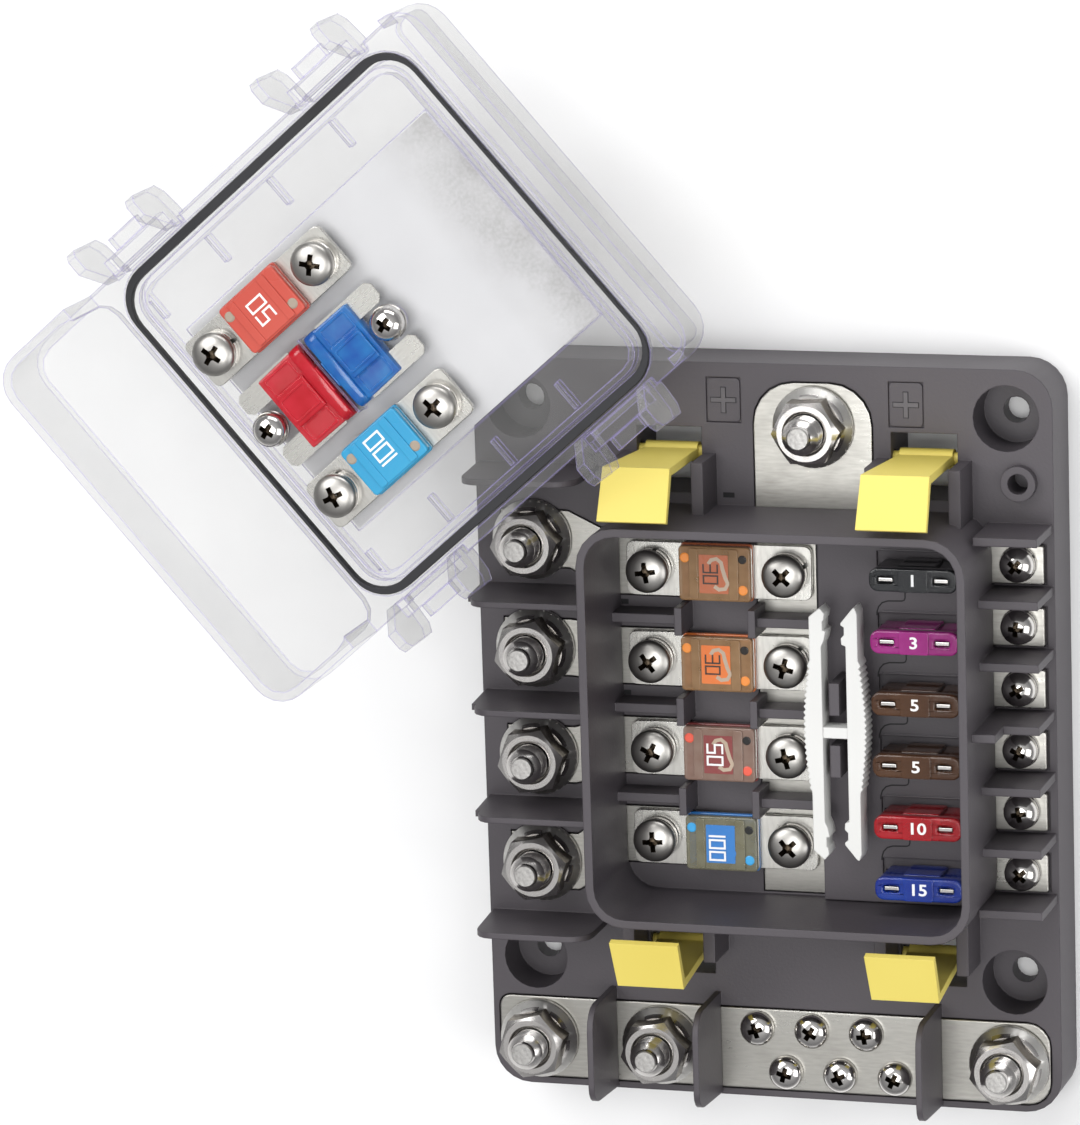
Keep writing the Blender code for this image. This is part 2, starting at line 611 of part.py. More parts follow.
def make_bolt_fuses():
    colours = (amber, amber, smoke_red, smoke_blue)
    for index, (y, colour) in enumerate(zip(BOLT_FUSE_YS, colours), 1):
        fuse = bolt_fuse(f"bolt_fuse_{index}", colour)
        fuse.location = (BOLT_FUSE_X, y, BAR_TOP + GAP)
        for side, x in (("left", -BOLT_PITCH / 2), ("right", BOLT_PITCH / 2)):
            screw = turned(f"fuse_screw_{side}_{index}", pan_screw(4.7, 3.5, 2.45, 5.5, 1.2), parts, steel)
            screw.location = (BOLT_FUSE_X + x, y, BAR_TOP + 2 * GAP + TAB_THICK)


def blade_fuse(name, material, collection=None):
    """A blade fuse: a body, a wider cap and two blades. Its origin is under the body."""
    low = (-FUSE_HALF_WIDTH + 0.5 * MM, -1.9 * MM, 0)
    high = (FUSE_HALF_WIDTH - 0.5 * MM, 1.9 * MM, FUSE_HEIGHT - 2.5 * MM)
    fuse = finish_object(name, block_mesh(name, low, high), collection or parts, material)
    cap = block_mesh(name + "_cap", (-FUSE_HALF_WIDTH, -FUSE_HALF_THICK, FUSE_HEIGHT - 3.2 * MM),
                     (FUSE_HALF_WIDTH, FUSE_HALF_THICK, FUSE_HEIGHT), 1.2 * MM, 2)
    pieces = [cap]
    for side in (-1, 1):
        centre = side * BLADE_SPREAD
        half = BLADE_HALF_WIDTH
        tip = 1.2 * MM
        shape = [(centre - half, MM), (centre - half, tip - BLADE_LENGTH),
                 (centre - half + tip, -BLADE_LENGTH), (centre + half - tip, -BLADE_LENGTH),
                 (centre + half, tip - BLADE_LENGTH), (centre + half, MM)]
        pieces.append(outline_mesh(name + "_blade", [shape], -0.33 * MM, 0.33 * MM, "XZ"))
    for mesh in pieces:
        piece = finish_object(mesh.name, mesh, helpers)
        piece.parent = fuse
        boolean(fuse, piece, "UNION")
    return fuse


def make_blade_fuses():
    colours = (black, violet, brown, brown, red, blue)
    for index, (y, colour) in enumerate(zip(BLADE_YS, colours), 1):
        fuse = blade_fuse(f"blade_fuse_{index}", colour)
        fuse.location = (BLADE_X, y, DECK_TOP - DECK_POCKET + GAP)


def make_branch_terminals():
    """Each strip takes a fuse's right blade under the deck and carries a screw outside the wall."""
    for index, y in enumerate(BLADE_YS, 1):
        name = f"branch_terminal_{index}"
        low_y, high_y, screw_y = branch_ys(y)
        slot_x = BLADE_X + BLADE_SPREAD
        loops = [rectangle((39.2 * MM, low_y), (BRANCH_END, high_y)),
                 rectangle((slot_x - 3 * MM, y - 0.9 * MM), (slot_x + 3 * MM, y + 0.9 * MM))]
        strip = finish_object(name, outline_mesh(name, loops, BRANCH_LOW, BRANCH_TOP), parts, tinned)
        screw = turned(name + "_screw", pan_screw(3.95, 3.1, 2.0, 5.0, 1.2, 3.7, sink=0.4), helpers)
        screw.location = (BRANCH_X, screw_y, BRANCH_TOP)
        boolean(strip, screw, "UNION")


def make_latches():
    names = {(-1, 1): "latch_top_left", (1, 1): "latch_top_right",
             (-1, -1): "latch_bottom_left", (1, -1): "latch_bottom_right"}
    outline = [(u * MM, w * MM) for u, w in LATCH_OUTLINE]
    flare = [(u * MM, w * MM) for u, w in LATCH_FLARE]
    flare += [(-u, w) for u, w in reversed(flare)]
    for x, way in LATCH_PLACES:
        name = names[(1 if x > BOX_CENTRE[0] else -1, way)]
        mesh = outline_mesh(name, [outline], -9 * MM, 9 * MM, "YZ")
        latch = finish_object(name, mesh, parts, yellow)
        sides = outline_mesh(name + "_flare", [flare], -12 * MM, 6 * MM, "XZ")
        sides = finish_object(name + "_flare", sides, helpers)
        sides.parent = latch
        boolean(latch, sides, "INTERSECT")
        for part, radius, reach in (("barrel", 2.2 * MM, 5.8 * MM),
                                    ("trunnion", TRUNNION_RADIUS, SLOT_HALF + 2 * MM)):
            mesh = rod_mesh(f"{name}_{part}", (0, 0), radius, -reach, reach, 16, "X")
            piece = finish_object(f"{name}_{part}", mesh, helpers)
            piece.parent = latch
            boolean(latch, piece, "UNION")
        latch.location = (x, BOX_CENTRE[1] + way * HINGE_OUT, HINGE_Z)
        latch.rotation_euler = (0, 0, 0 if way > 0 else math.pi)


def make_puller():
    """Two sprung arms joined by a web, with ribbed grips on their outer sides."""
    low, high = 25.5 * MM, 31 * MM
    left = [(15.6, -22.7), (17.2, -20), (17.2, 31), (16.4, 32.4), (14.6, 31), (13.6, 20), (13.6, -12),
            (14.4, -22)]
    right = [(20.4, -19.5), (22, -22.6), (23.4, -22), (24.9, -8), (24.9, 22), (25.6, 31), (24.5, 32.3),
             (20.6, 29)]
    puller = finish_object("fuse_puller", outline_mesh("fuse_puller", [[(x * MM, y * MM) for x, y in left]],
                                                       low, high), parts, white)
    pieces = [outline_mesh("puller_right", [[(x * MM, y * MM) for x, y in right]], low, high),
              block_mesh("puller_web", (17 * MM, 3.8 * MM, low), (20.7 * MM, 6.2 * MM, high)),
              block_mesh("puller_left_grip", (12.6 * MM, -5.5 * MM, low), (14 * MM, 20.5 * MM, high)),
              block_mesh("puller_right_grip", (24.5 * MM, -5.5 * MM, low), (26.1 * MM, 20.5 * MM, high))]
    for mesh in pieces:
        boolean(puller, finish_object(mesh.name, mesh, helpers), "UNION")


def make_cover_shell(frame):
    """The clear cover: a wide wing over the studs, a narrow one over the branch screws, a gasket
    channel, a domed middle and eight latch lugs."""
    low = (COVER_LEFT, -COVER_HALF_Y, WIDE_SKIRT)
    high = (COVER_RIGHT, COVER_HALF_Y, DOME_TOP)
    cover = finish_object("cover", block_mesh("cover", low, high, COVER_CORNER), parts, clear)
    cover.parent = frame
    cuts = make_collection("cover_cuts", helpers, hidden=True)
    channel_out = (GASKET_X + 1.6 * MM, GASKET_Y + 1.6 * MM)
    ring_out_x = GASKET_X + 3 * MM
    inside = (GASKET_X - 3 * MM, GASKET_Y - 3 * MM)
    inner_y = COVER_HALF_Y - COVER_WALL
    far = 60 * MM
    deep = -20 * MM
    wing_inside = WING_TOP - COVER_WALL
    boxes = {
        "middle_cut": ((-46 * MM, -far, deep), (46 * MM, far, RING_FACE), 0),
        "wide_wing": ((COVER_LEFT + COVER_WALL, -inner_y, deep), (-ring_out_x, inner_y, wing_inside), 5),
        "narrow_wing": ((ring_out_x, -inner_y, deep), (COVER_RIGHT - COVER_WALL, inner_y, wing_inside), 2.5),
        "narrow_rim": ((45 * MM, -far, deep), (far, far, NARROW_SKIRT), 0),
        "middle_inside": ((-inside[0], -inside[1], -MM), (inside[0], inside[1], PANEL_INSIDE), 4.6),
        "label_recess": ((-LABEL_X / 2 - GAP, -LABEL_Y / 2 - GAP, 5.2 * MM),
                         (LABEL_X / 2 + GAP, LABEL_Y / 2 + GAP, 7 * MM), 0),
    }
    for name, (box_low, box_high, corner) in boxes.items():
        finish_object(name, block_mesh(name, box_low, box_high, corner * MM, 3), cuts)
    ring_pair("gasket_channel", channel_out, GASKET_CORNER + 1.6 * MM, 3.2 * MM, -MM,
              GASKET_DEEP + GAP, cuts)
    ring_pair("dome_step", (GASKET_X - MM, GASKET_Y - MM), 6 * MM, 0, WING_TOP, 8 * MM, cuts,
              outside=(80 * MM, 60 * MM))
    for x in (LATCH_SHIFT - LATCH_SPREAD, LATCH_SHIFT + LATCH_SPREAD):
        for way in (-1, 1):
            near, over = sorted((way * 44.9 * MM, way * 50 * MM))
            notch = block_mesh("hook_notch", (x - 8.2 * MM, near, MM), (x + 8.2 * MM, over, 8 * MM))
            finish_object("hook_notch", notch, cuts)
    for y in LEFT_BARRIER_YS[1:4]:
        middle = y - BOX_CENTRE[1]
        slot = block_mesh("skirt_slot", (COVER_LEFT - MM, middle - 1.3 * MM, deep),
                          (COVER_LEFT + COVER_WALL + 0.7 * MM, middle + 1.3 * MM, SKIRT_SLOT_TOP))
        finish_object("skirt_slot", slot, cuts)
    additions = make_collection("cover_additions", helpers, hidden=True)
    add_cover_details(additions)
    for helper in list(cuts.objects) + list(additions.objects):
        helper.parent = frame
    for helper in [o for o in helpers.objects if o.name.startswith(("gasket_channel", "dome_step"))]:
        helper.parent = frame
    boolean(cover, cuts)
    boolean(cover, additions, "UNION")


def add_cover_details(additions):
    for x in (LATCH_SHIFT - LATCH_SPREAD, LATCH_SHIFT + LATCH_SPREAD):
        for way in (-1, 1):
            for side in (-1, 1):
                middle = x + side * LUG_SPREAD
                profile = [(44.9, 3.4), (44.9, -6), (49.5, -14.5), (53, -14.5), (54.4, -13), (54.4, 0),
                           (52.4, 2.4), (48, 3.4)]
                loop = [(way * y * MM, z * MM) for y, z in profile]
                mesh = outline_mesh("lug", [loop], middle - LUG_HALF, middle + LUG_HALF, "YZ")
                finish_object("lug", mesh, additions)
            for name, half, near, over, low, high in (("hook_bar", 8.6, 45.3, 49, -5, -0.3),
                                                      ("hook_tab", 4, 48, 52, -4.6, -2.2)):
                first, last = sorted((way * near * MM, way * over * MM))
                mesh = block_mesh(name, (x - half * MM, first, low * MM), (x + half * MM, last, high * MM))
                finish_object(name, mesh, additions)
    for way in (-1, 1):
        for step in range(-2, 2):
            x = (1 + 18.9 * step) * MM
            first, last = sorted((way * 32.5 * MM, way * 39.3 * MM))
            mesh = block_mesh("bay_rib", (x - 0.6 * MM, first, 2.2 * MM), (x + 0.6 * MM, last, 4.5 * MM))
            finish_object("bay_rib", mesh, additions)
        for side in (-1, 1):
            place = (SPARE_X + side * BOLT_PITCH / 2, way * SPARE_Y)
            pad = rod_mesh("spare_pad", place, 4.6 * MM, 2.6 * MM, 4.5 * MM, 16)
            finish_object("spare_pad", pad, additions)
            place = (SPARE_BLADE_X + side * (0.55 * MM + FUSE_HEIGHT + SPARE_SCREW_OUT), 0)
            pad = rod_mesh("blade_pad", place, 2.8 * MM, 1.8 * MM, 4.5 * MM, 12)
            finish_object("blade_pad", pad, additions)
    mesh = block_mesh("divider", (SPARE_BLADE_X - 0.25 * MM, -9.9 * MM, -0.8 * MM),
                      (SPARE_BLADE_X + 0.25 * MM, 9.9 * MM, 4.5 * MM))
    finish_object("divider", mesh, additions)


def make_cover_fittings(frame):
    """The gasket, the label on the outside and the four spare fuses, each with its screws."""
    outer = (GASKET_X + GASKET_HALF, GASKET_Y + GASKET_HALF)
    gasket = ring_pair("cover_gasket", outer, GASKET_CORNER + GASKET_HALF, 2 * GASKET_HALF, 0,
                       GASKET_DEEP, parts)
    gasket.data.materials.append(rubber)
    gasket.hide_render = False
    gasket.display_type = "TEXTURED"
    gasket.parent = frame
    bpy.data.objects["cover_gasket_inside"].parent = frame
    label = block_mesh("cover_label", (-LABEL_X / 2, -LABEL_Y / 2, 5.5 * MM),
                       (LABEL_X / 2, LABEL_Y / 2, 5.8 * MM))
    finish_object("cover_label", label, parts, silver).parent = frame
    for index, (way, colour) in enumerate(((-1, coral), (1, sky)), 1):
        fuse = bolt_fuse(f"spare_bolt_fuse_{index}", colour)
        fuse.parent = frame
        fuse.location = (SPARE_X, way * SPARE_Y, 2.3 * MM)
        fuse.rotation_euler = (math.pi, 0, 0)
        for side in (-1, 1):
            profile = pan_screw(4.7, 3.5, 2.9, 0.1, 1.2, sink=0.2)
            screw = turned("spare_screw", [(r, z) for r, z in profile], helpers)
            screw.parent = fuse
            screw.location = (side * BOLT_PITCH / 2, 0, TAB_THICK)
            boolean(fuse, screw, "UNION")
    for index, (side, colour) in enumerate(((1, blue), (-1, red)), 1):
        fuse = blade_fuse(f"spare_blade_fuse_{index}", colour)
        fuse.parent = frame
        edge = SPARE_BLADE_X + side * (0.55 * MM + FUSE_HEIGHT)
        fuse.location = (edge, 0, 1.1 * MM)
        axes = Matrix(((0, 0, -side), (side, 0, 0), (0, -1, 0)))
        fuse.rotation_euler = axes.to_euler()
        head = turned("spare_small_screw", pan_screw(3.95, 2.9, 2.0, 0.5, 0), helpers)
        head.location = (0, 1.1 * MM, -SPARE_SCREW_OUT)
        head.rotation_euler = (-math.pi / 2, 0, 0)
        collar = block_mesh("spare_collar", (-4.8 * MM, -0.33 * MM, -1.9 * MM - SPARE_SCREW_OUT),
                            (4.8 * MM, 1.3 * MM, 1.9 * MM - SPARE_SCREW_OUT))
        for piece in (finish_object("spare_collar", collar, helpers), head):
            piece.parent = fuse
            boolean(fuse, piece, "UNION")


clear_scene()
scene_root = bpy.context.scene.collection
parts = make_collection("fuse_panel", scene_root)
helpers = make_collection("cutters", scene_root, hidden=True)

charcoal = make_material("charcoal_plastic", (0.075, 0.07, 0.08), 0.55)
tinned = make_material("tinned_copper", (0.62, 0.6, 0.57), 0.35, 1.0)
steel = make_material("stainless_steel", (0.6, 0.58, 0.56), 0.25, 1.0)
yellow = make_material("yellow_latch", (0.95, 0.86, 0.2), 0.45)
white = make_material("white_puller", (0.93, 0.93, 0.92), 0.5)
clear = make_material("clear_cover", (0.93, 0.93, 0.97), 0.08, 0.0, 0.3)
rubber = make_material("black_gasket", (0.03, 0.03, 0.03), 0.7)
silver = make_material("silver_label", (0.85, 0.85, 0.86), 0.3, 0.6)
amber = make_material("amber_fuse", (0.75, 0.4, 0.2), 0.3)
smoke_red = make_material("smoke_red_fuse", (0.75, 0.5, 0.42), 0.3)
smoke_blue = make_material("smoke_blue_fuse", (0.35, 0.55, 0.72), 0.3)
coral = make_material("coral_fuse", (0.85, 0.22, 0.18), 0.3)
sky = make_material("sky_fuse", (0.1, 0.55, 0.85), 0.3)
black = make_material("black_blade_fuse", (0.04, 0.04, 0.05), 0.3)
violet = make_material("violet_blade_fuse", (0.55, 0.05, 0.45), 0.25)
brown = make_material("brown_blade_fuse", (0.25, 0.12, 0.06), 0.25)
red = make_material("red_blade_fuse", (0.65, 0.02, 0.08), 0.25)
blue = make_material("blue_blade_fuse", (0.03, 0.06, 0.6), 0.25)

LATCH_MIDDLE = BOX_CENTRE[0] + LATCH_SHIFT
LATCH_PLACES = [(LATCH_MIDDLE + side * LATCH_SPREAD, way) for way in (1, -1) for side in (-1, 1)]
STUD_PLACES = ([INPUT_STUD] + [(OUTPUT_X, y) for y in OUTPUT_YS] + [(x, NEGATIVE_Y) for x in NEGATIVE_XS])
SMALL_SCREWS = [(x + step * SMALL_SCREW_PITCH, y) for x, y in SMALL_SCREW_ROWS for step in range(3)]

make_base()
make_deck()
make_busbars()
make_terminals()
make_bolt_fuses()
make_blade_fuses()
make_branch_terminals()
make_latches()
make_puller()
cover_frame = bpy.data.objects.new("cover_frame", None)
parts.objects.link(cover_frame)
cover_frame.location = COVER_AT
cover_frame.rotation_euler = (math.pi, 0, COVER_TURN)
make_cover_shell(cover_frame)
make_cover_fittings(cover_frame)
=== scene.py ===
"""The looks of a 12 volt fuse block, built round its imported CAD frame."""

import json
import math

import bmesh
import bpy
from mathutils import Matrix, Vector

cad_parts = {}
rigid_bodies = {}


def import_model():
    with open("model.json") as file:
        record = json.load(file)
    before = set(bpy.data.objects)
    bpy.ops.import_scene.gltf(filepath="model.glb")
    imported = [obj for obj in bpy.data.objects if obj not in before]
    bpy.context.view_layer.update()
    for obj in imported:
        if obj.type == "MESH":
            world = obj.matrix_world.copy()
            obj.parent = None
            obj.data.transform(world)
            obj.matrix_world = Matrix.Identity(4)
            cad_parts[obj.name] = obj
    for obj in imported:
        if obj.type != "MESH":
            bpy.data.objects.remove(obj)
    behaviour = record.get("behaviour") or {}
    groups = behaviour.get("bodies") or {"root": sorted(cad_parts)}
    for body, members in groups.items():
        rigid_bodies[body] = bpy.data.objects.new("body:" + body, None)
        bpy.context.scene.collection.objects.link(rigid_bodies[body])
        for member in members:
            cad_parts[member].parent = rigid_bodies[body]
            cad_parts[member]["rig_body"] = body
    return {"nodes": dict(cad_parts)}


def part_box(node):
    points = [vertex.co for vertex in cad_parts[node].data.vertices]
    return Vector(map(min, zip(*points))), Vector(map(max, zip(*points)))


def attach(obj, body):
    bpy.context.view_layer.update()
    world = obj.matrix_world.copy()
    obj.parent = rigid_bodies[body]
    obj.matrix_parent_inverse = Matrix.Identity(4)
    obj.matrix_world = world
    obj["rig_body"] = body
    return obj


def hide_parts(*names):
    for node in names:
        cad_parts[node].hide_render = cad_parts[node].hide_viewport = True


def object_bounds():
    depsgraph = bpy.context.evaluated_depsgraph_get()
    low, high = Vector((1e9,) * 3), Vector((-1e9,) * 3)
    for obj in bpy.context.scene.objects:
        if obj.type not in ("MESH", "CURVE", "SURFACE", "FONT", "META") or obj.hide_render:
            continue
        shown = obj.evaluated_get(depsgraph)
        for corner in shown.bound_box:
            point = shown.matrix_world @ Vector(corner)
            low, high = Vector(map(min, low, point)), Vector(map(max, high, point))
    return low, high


MM = 0.001
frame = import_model()
cad_low, cad_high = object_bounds()
nodes = frame["nodes"]


# Materials

def new_material(name, roughness, metallic=0.0, alpha=1.0, ior=1.5, coat=0.0):
    """A node material, its node tree and its shader, with the shader's constants set."""
    made = bpy.data.materials.new(name)
    made.use_nodes = True
    shader = made.node_tree.nodes["Principled BSDF"]
    shader.inputs["Roughness"].default_value = roughness
    shader.inputs["Metallic"].default_value = metallic
    shader.inputs["Alpha"].default_value = alpha
    shader.inputs["IOR"].default_value = ior
    shader.inputs["Coat Weight"].default_value = coat
    shader.inputs["Coat Roughness"].default_value = 0.08
    return made, made.node_tree, shader


def noise_of(tree, scale, detail, stretch=(1, 1, 1), distortion=0.0):
    """A noise in the piece's own space, so that it stays with the piece in every view."""
    spot = tree.nodes.new("ShaderNodeTexCoord")
    mapping = tree.nodes.new("ShaderNodeMapping")
    mapping.inputs["Scale"].default_value = stretch
    noise = tree.nodes.new("ShaderNodeTexNoise")
    noise.inputs["Scale"].default_value = scale
    noise.inputs["Detail"].default_value = detail
    noise.inputs["Distortion"].default_value = distortion
    tree.links.new(spot.outputs["Object"], mapping.inputs["Vector"])
    tree.links.new(mapping.outputs["Vector"], noise.inputs["Vector"])
    return noise


def ramp_of(tree, source, stops):
    """The colour of a value, from stops of (value, colour)."""
    ramp = tree.nodes.new("ShaderNodeValToRGB")
    points = ramp.color_ramp.elements
    while len(points) < len(stops):
        points.new(0.5)
    for point, (position, colour) in zip(points, stops):
        point.position = position
        point.color = (*colour, 1.0)
    tree.links.new(source, ramp.inputs["Fac"])
    return ramp.outputs["Color"]


def spread(tree, source, low, high, start=0.3, end=0.7):
    """A value that goes from low to high as the source goes from start to end."""
    ranged = tree.nodes.new("ShaderNodeMapRange")
    ranged.inputs["From Min"].default_value = start
    ranged.inputs["From Max"].default_value = end
    ranged.inputs["To Min"].default_value = low
    ranged.inputs["To Max"].default_value = high
    tree.links.new(source, ranged.inputs["Value"])
    return ranged.outputs["Result"]


def connect(tree, value, socket):
    """Sets a socket to a number, a colour or another node's output."""
    if isinstance(value, bpy.types.NodeSocket):
        tree.links.new(value, socket)
    elif isinstance(value, (int, float)):
        socket.default_value = value
    else:
        socket.default_value = (*value, 1)


def math_of(tree, operation, *values):
    node = tree.nodes.new("ShaderNodeMath")
    node.operation = operation
    for value, socket in zip(values, node.inputs):
        connect(tree, value, socket)
    return node.outputs[0]


def mix_of(tree, blend, share, first, second):
    """Two colours blended by a share."""
    node = tree.nodes.new("ShaderNodeMix")
    node.data_type = "RGBA"
    node.blend_type = blend
    for value, index in ((share, 0), (first, 6), (second, 7)):
        connect(tree, value, node.inputs[index])
    return node.outputs[2]


BEVEL_SAMPLES = 6
# How far a rounded normal agrees with the flat one on an edge, and away from every edge
ON_EDGE, OFF_EDGE = 0.84, 0.99


def rounding_of(tree, radius):
    """The surface normal with its sharp edges rounded over by a radius."""
    bevel = tree.nodes.new("ShaderNodeBevel")
    bevel.samples = BEVEL_SAMPLES
    bevel.inputs["Radius"].default_value = radius
    return bevel.outputs["Normal"]


def edges_of(tree, radius):
    """1 on sharp edges, falling to 0 at a radius away from them."""
    surface = tree.nodes.new("ShaderNodeNewGeometry")
    dot = tree.nodes.new("ShaderNodeVectorMath")
    dot.operation = "DOT_PRODUCT"
    tree.links.new(rounding_of(tree, radius), dot.inputs[0])
    tree.links.new(surface.outputs["Normal"], dot.inputs[1])
    return spread(tree, dot.outputs["Value"], 1.0, 0.0, ON_EDGE, OFF_EDGE)


def bump_of(tree, shader, height, strength, distance, radius=0.0):
    """Fine relief on the shader's normal, over edges rounded by a radius."""
    bump = tree.nodes.new("ShaderNodeBump")
    bump.inputs["Strength"].default_value = strength
    bump.inputs["Distance"].default_value = distance
    tree.links.new(height, bump.inputs["Height"])
    if radius:
        tree.links.new(rounding_of(tree, radius), bump.inputs["Normal"])
    tree.links.new(bump.outputs["Normal"], shader.inputs["Normal"])


def moulded(name, dark, light, roughness, grain=1400, bump=0.25, coat=0.0, radius=0.0):
    """Moulded plastic: slow colour drift, a fine spark-eroded grain and a varied sheen."""
    made, tree, shader = new_material(name, roughness, coat=coat)
    drift = noise_of(tree, 22, 2.0)
    tree.links.new(ramp_of(tree, drift.outputs["Fac"], ((0.3, dark), (0.7, light))),
                   shader.inputs["Base Color"])
    fine = noise_of(tree, grain, 2.0)
    tree.links.new(spread(tree, drift.outputs["Fac"], roughness - 0.06, roughness + 0.08),
                   shader.inputs["Roughness"])
    bump_of(tree, shader, fine.outputs["Fac"], bump, 0.00012, radius)
    return made


def plated(name, dark, light, low, high, stretch=(1, 1, 1), grain=300, bump=0.15, radius=0.0):
    """Metal: a streaked or mottled tone, with its roughness following it."""
    made, tree, shader = new_material(name, low, metallic=1.0)
    streak_share = 0.45
    streak = noise_of(tree, grain, 4.0, stretch).outputs["Fac"]
    cloud = noise_of(tree, 60, 3.0, distortion=0.6).outputs["Fac"]
    mixed = math_of(tree, "MULTIPLY_ADD", streak, streak_share,
                    math_of(tree, "MULTIPLY", cloud, 1 - streak_share))
    tone = ramp_of(tree, mixed, ((0.34, dark), (0.66, light)))
    tree.links.new(tone, shader.inputs["Base Color"])
    tree.links.new(spread(tree, mixed, high, low), shader.inputs["Roughness"])
    bump_of(tree, shader, streak, bump, 0.00005, radius)
    return made


def tinted(name, colour, deep, alpha):
    """Translucent plastic: clouded, denser at a slant, with a painted highlight that lightens its
    edges.
    """
    made, tree, shader = new_material(name, 0.12, alpha=alpha, coat=0.4)
    cloud = noise_of(tree, 260, 2.0).outputs["Fac"]
    body = mix_of(tree, "MIX", spread(tree, cloud, 0.0, 0.6), colour, deep)
    # Painted highlight: a lighter colour is added to the body's colour along its sharp edges.
    edge_highlight = [0.5 * channel + 0.03 for channel in colour]
    lit = mix_of(tree, "ADD", edges_of(tree, 0.25 * MM), body, edge_highlight)
    tree.links.new(lit, shader.inputs["Base Color"])
    weight = tree.nodes.new("ShaderNodeLayerWeight")
    weight.inputs["Blend"].default_value = 0.4
    density = spread(tree, weight.outputs["Facing"], alpha, min(1.0, alpha + 0.35), 0.2, 0.9)
    tree.links.new(density, shader.inputs["Alpha"])
    bump_of(tree, shader, cloud, 0.12, 0.0001, 0.2 * MM)
    return made


def polycarbonate():
    """Clear plastic: a faint grey face on, milky at a slant, with lavender edges."""
    made, tree, shader = new_material("polycarbonate", 0.08, ior=1.58)
    cloud = noise_of(tree, 90, 2.0).outputs["Fac"]
    edge = edges_of(tree, 0.8 * MM)
    grey = ramp_of(tree, cloud, ((0.3, (0.3, 0.3, 0.295)), (0.7, (0.4, 0.4, 0.39))))
    lavender = (0.4, 0.34, 0.72)
    tree.links.new(mix_of(tree, "MIX", edge, grey, lavender), shader.inputs["Base Color"])
    weight = tree.nodes.new("ShaderNodeLayerWeight")
    weight.inputs["Blend"].default_value = 0.5
    density = ((0.0, (0.13,) * 3), (0.45, (0.16,) * 3), (0.8, (0.32,) * 3), (1.0, (0.62,) * 3))
    slant = ramp_of(tree, weight.outputs["Facing"], density)
    alpha = math_of(tree, "MAXIMUM", slant, math_of(tree, "MULTIPLY", edge, 0.5))
    tree.links.new(alpha, shader.inputs["Alpha"])
    bump_of(tree, shader, cloud, 0.08, 0.0004, 0.4 * MM)
    return made


charcoal = moulded("charcoal_plastic", (0.061, 0.053, 0.061), (0.081, 0.072, 0.081), 0.5,
                   radius=0.4 * MM)
# Painted highlight: a lighter copy of the charcoal for raised + bars and pocket ledges.
charcoal_highlight = moulded("charcoal_highlight", (0.08, 0.072, 0.08), (0.1, 0.092, 0.1), 0.4)
# Painted shade: a near-black plastic laid in gaps, slots and grooves where shade falls.
painted_gap_shade = moulded("painted_gap_shade", (0.006, 0.006, 0.007), (0.01, 0.009, 0.011), 0.7)
tin = plated("tin_plate", (0.33, 0.32, 0.295), (0.49, 0.48, 0.445), 0.24, 0.42, (1, 6, 1), 260,
             radius=0.3 * MM)
tin_plain = plated("fuse_tab_tin", (0.46, 0.45, 0.42), (0.66, 0.65, 0.61), 0.2, 0.38, (5, 1, 1),
                   300)
steel = plated("stainless", (0.5, 0.48, 0.46), (0.72, 0.7, 0.68), 0.14, 0.3, (1, 1, 8), 420)
dull_steel = plated("dull_steel", (0.34, 0.33, 0.31), (0.5, 0.485, 0.46), 0.26, 0.4, (1, 1, 4), 420)
bright = plated("bright_screw", (0.62, 0.6, 0.58), (0.85, 0.83, 0.8), 0.08, 0.18, (1, 1, 1), 500,
                0.08)
turned_end = plated("stud_end", (0.3, 0.29, 0.28), (0.56, 0.55, 0.53), 0.34, 0.55, (1, 1, 1), 1500,
                    0.8)
# Painted shade: the cross recess's cut faces are coloured dark brown so that the recess reads dark.
recess = plated("recess", (0.03, 0.022, 0.015), (0.11, 0.085, 0.06), 0.3, 0.45)
# Painted shade: a darker, browner copy of the steel for the nut's upright sides.
nut_side_shade = plated("nut_side_shade", (0.2, 0.175, 0.15), (0.34, 0.31, 0.27), 0.16, 0.3, (1, 1, 6), 260)
flange_top = plated("nut_flange", (0.5, 0.49, 0.47), (0.66, 0.65, 0.62), 0.3, 0.45, (1, 1, 1), 700,
                    0.3)
yellow = moulded("yellow_plastic", (0.79, 0.64, 0.13), (0.84, 0.7, 0.16), 0.44, grain=900,
                 bump=0.18, radius=0.25 * MM)
white = moulded("white_plastic", (0.66, 0.66, 0.64), (0.74, 0.74, 0.72), 0.42, grain=900, bump=0.12,
                radius=0.2 * MM)
digit_white = moulded("digit_white", (0.85, 0.85, 0.85), (0.9, 0.9, 0.9), 0.4)
digit_dark = moulded("digit_dark", (0.03, 0.015, 0.01), (0.05, 0.03, 0.02), 0.4)
gasket_black = moulded("seal_rubber", (0.008, 0.008, 0.01), (0.016, 0.016, 0.02), 0.55, grain=700)
clear = polycarbonate()


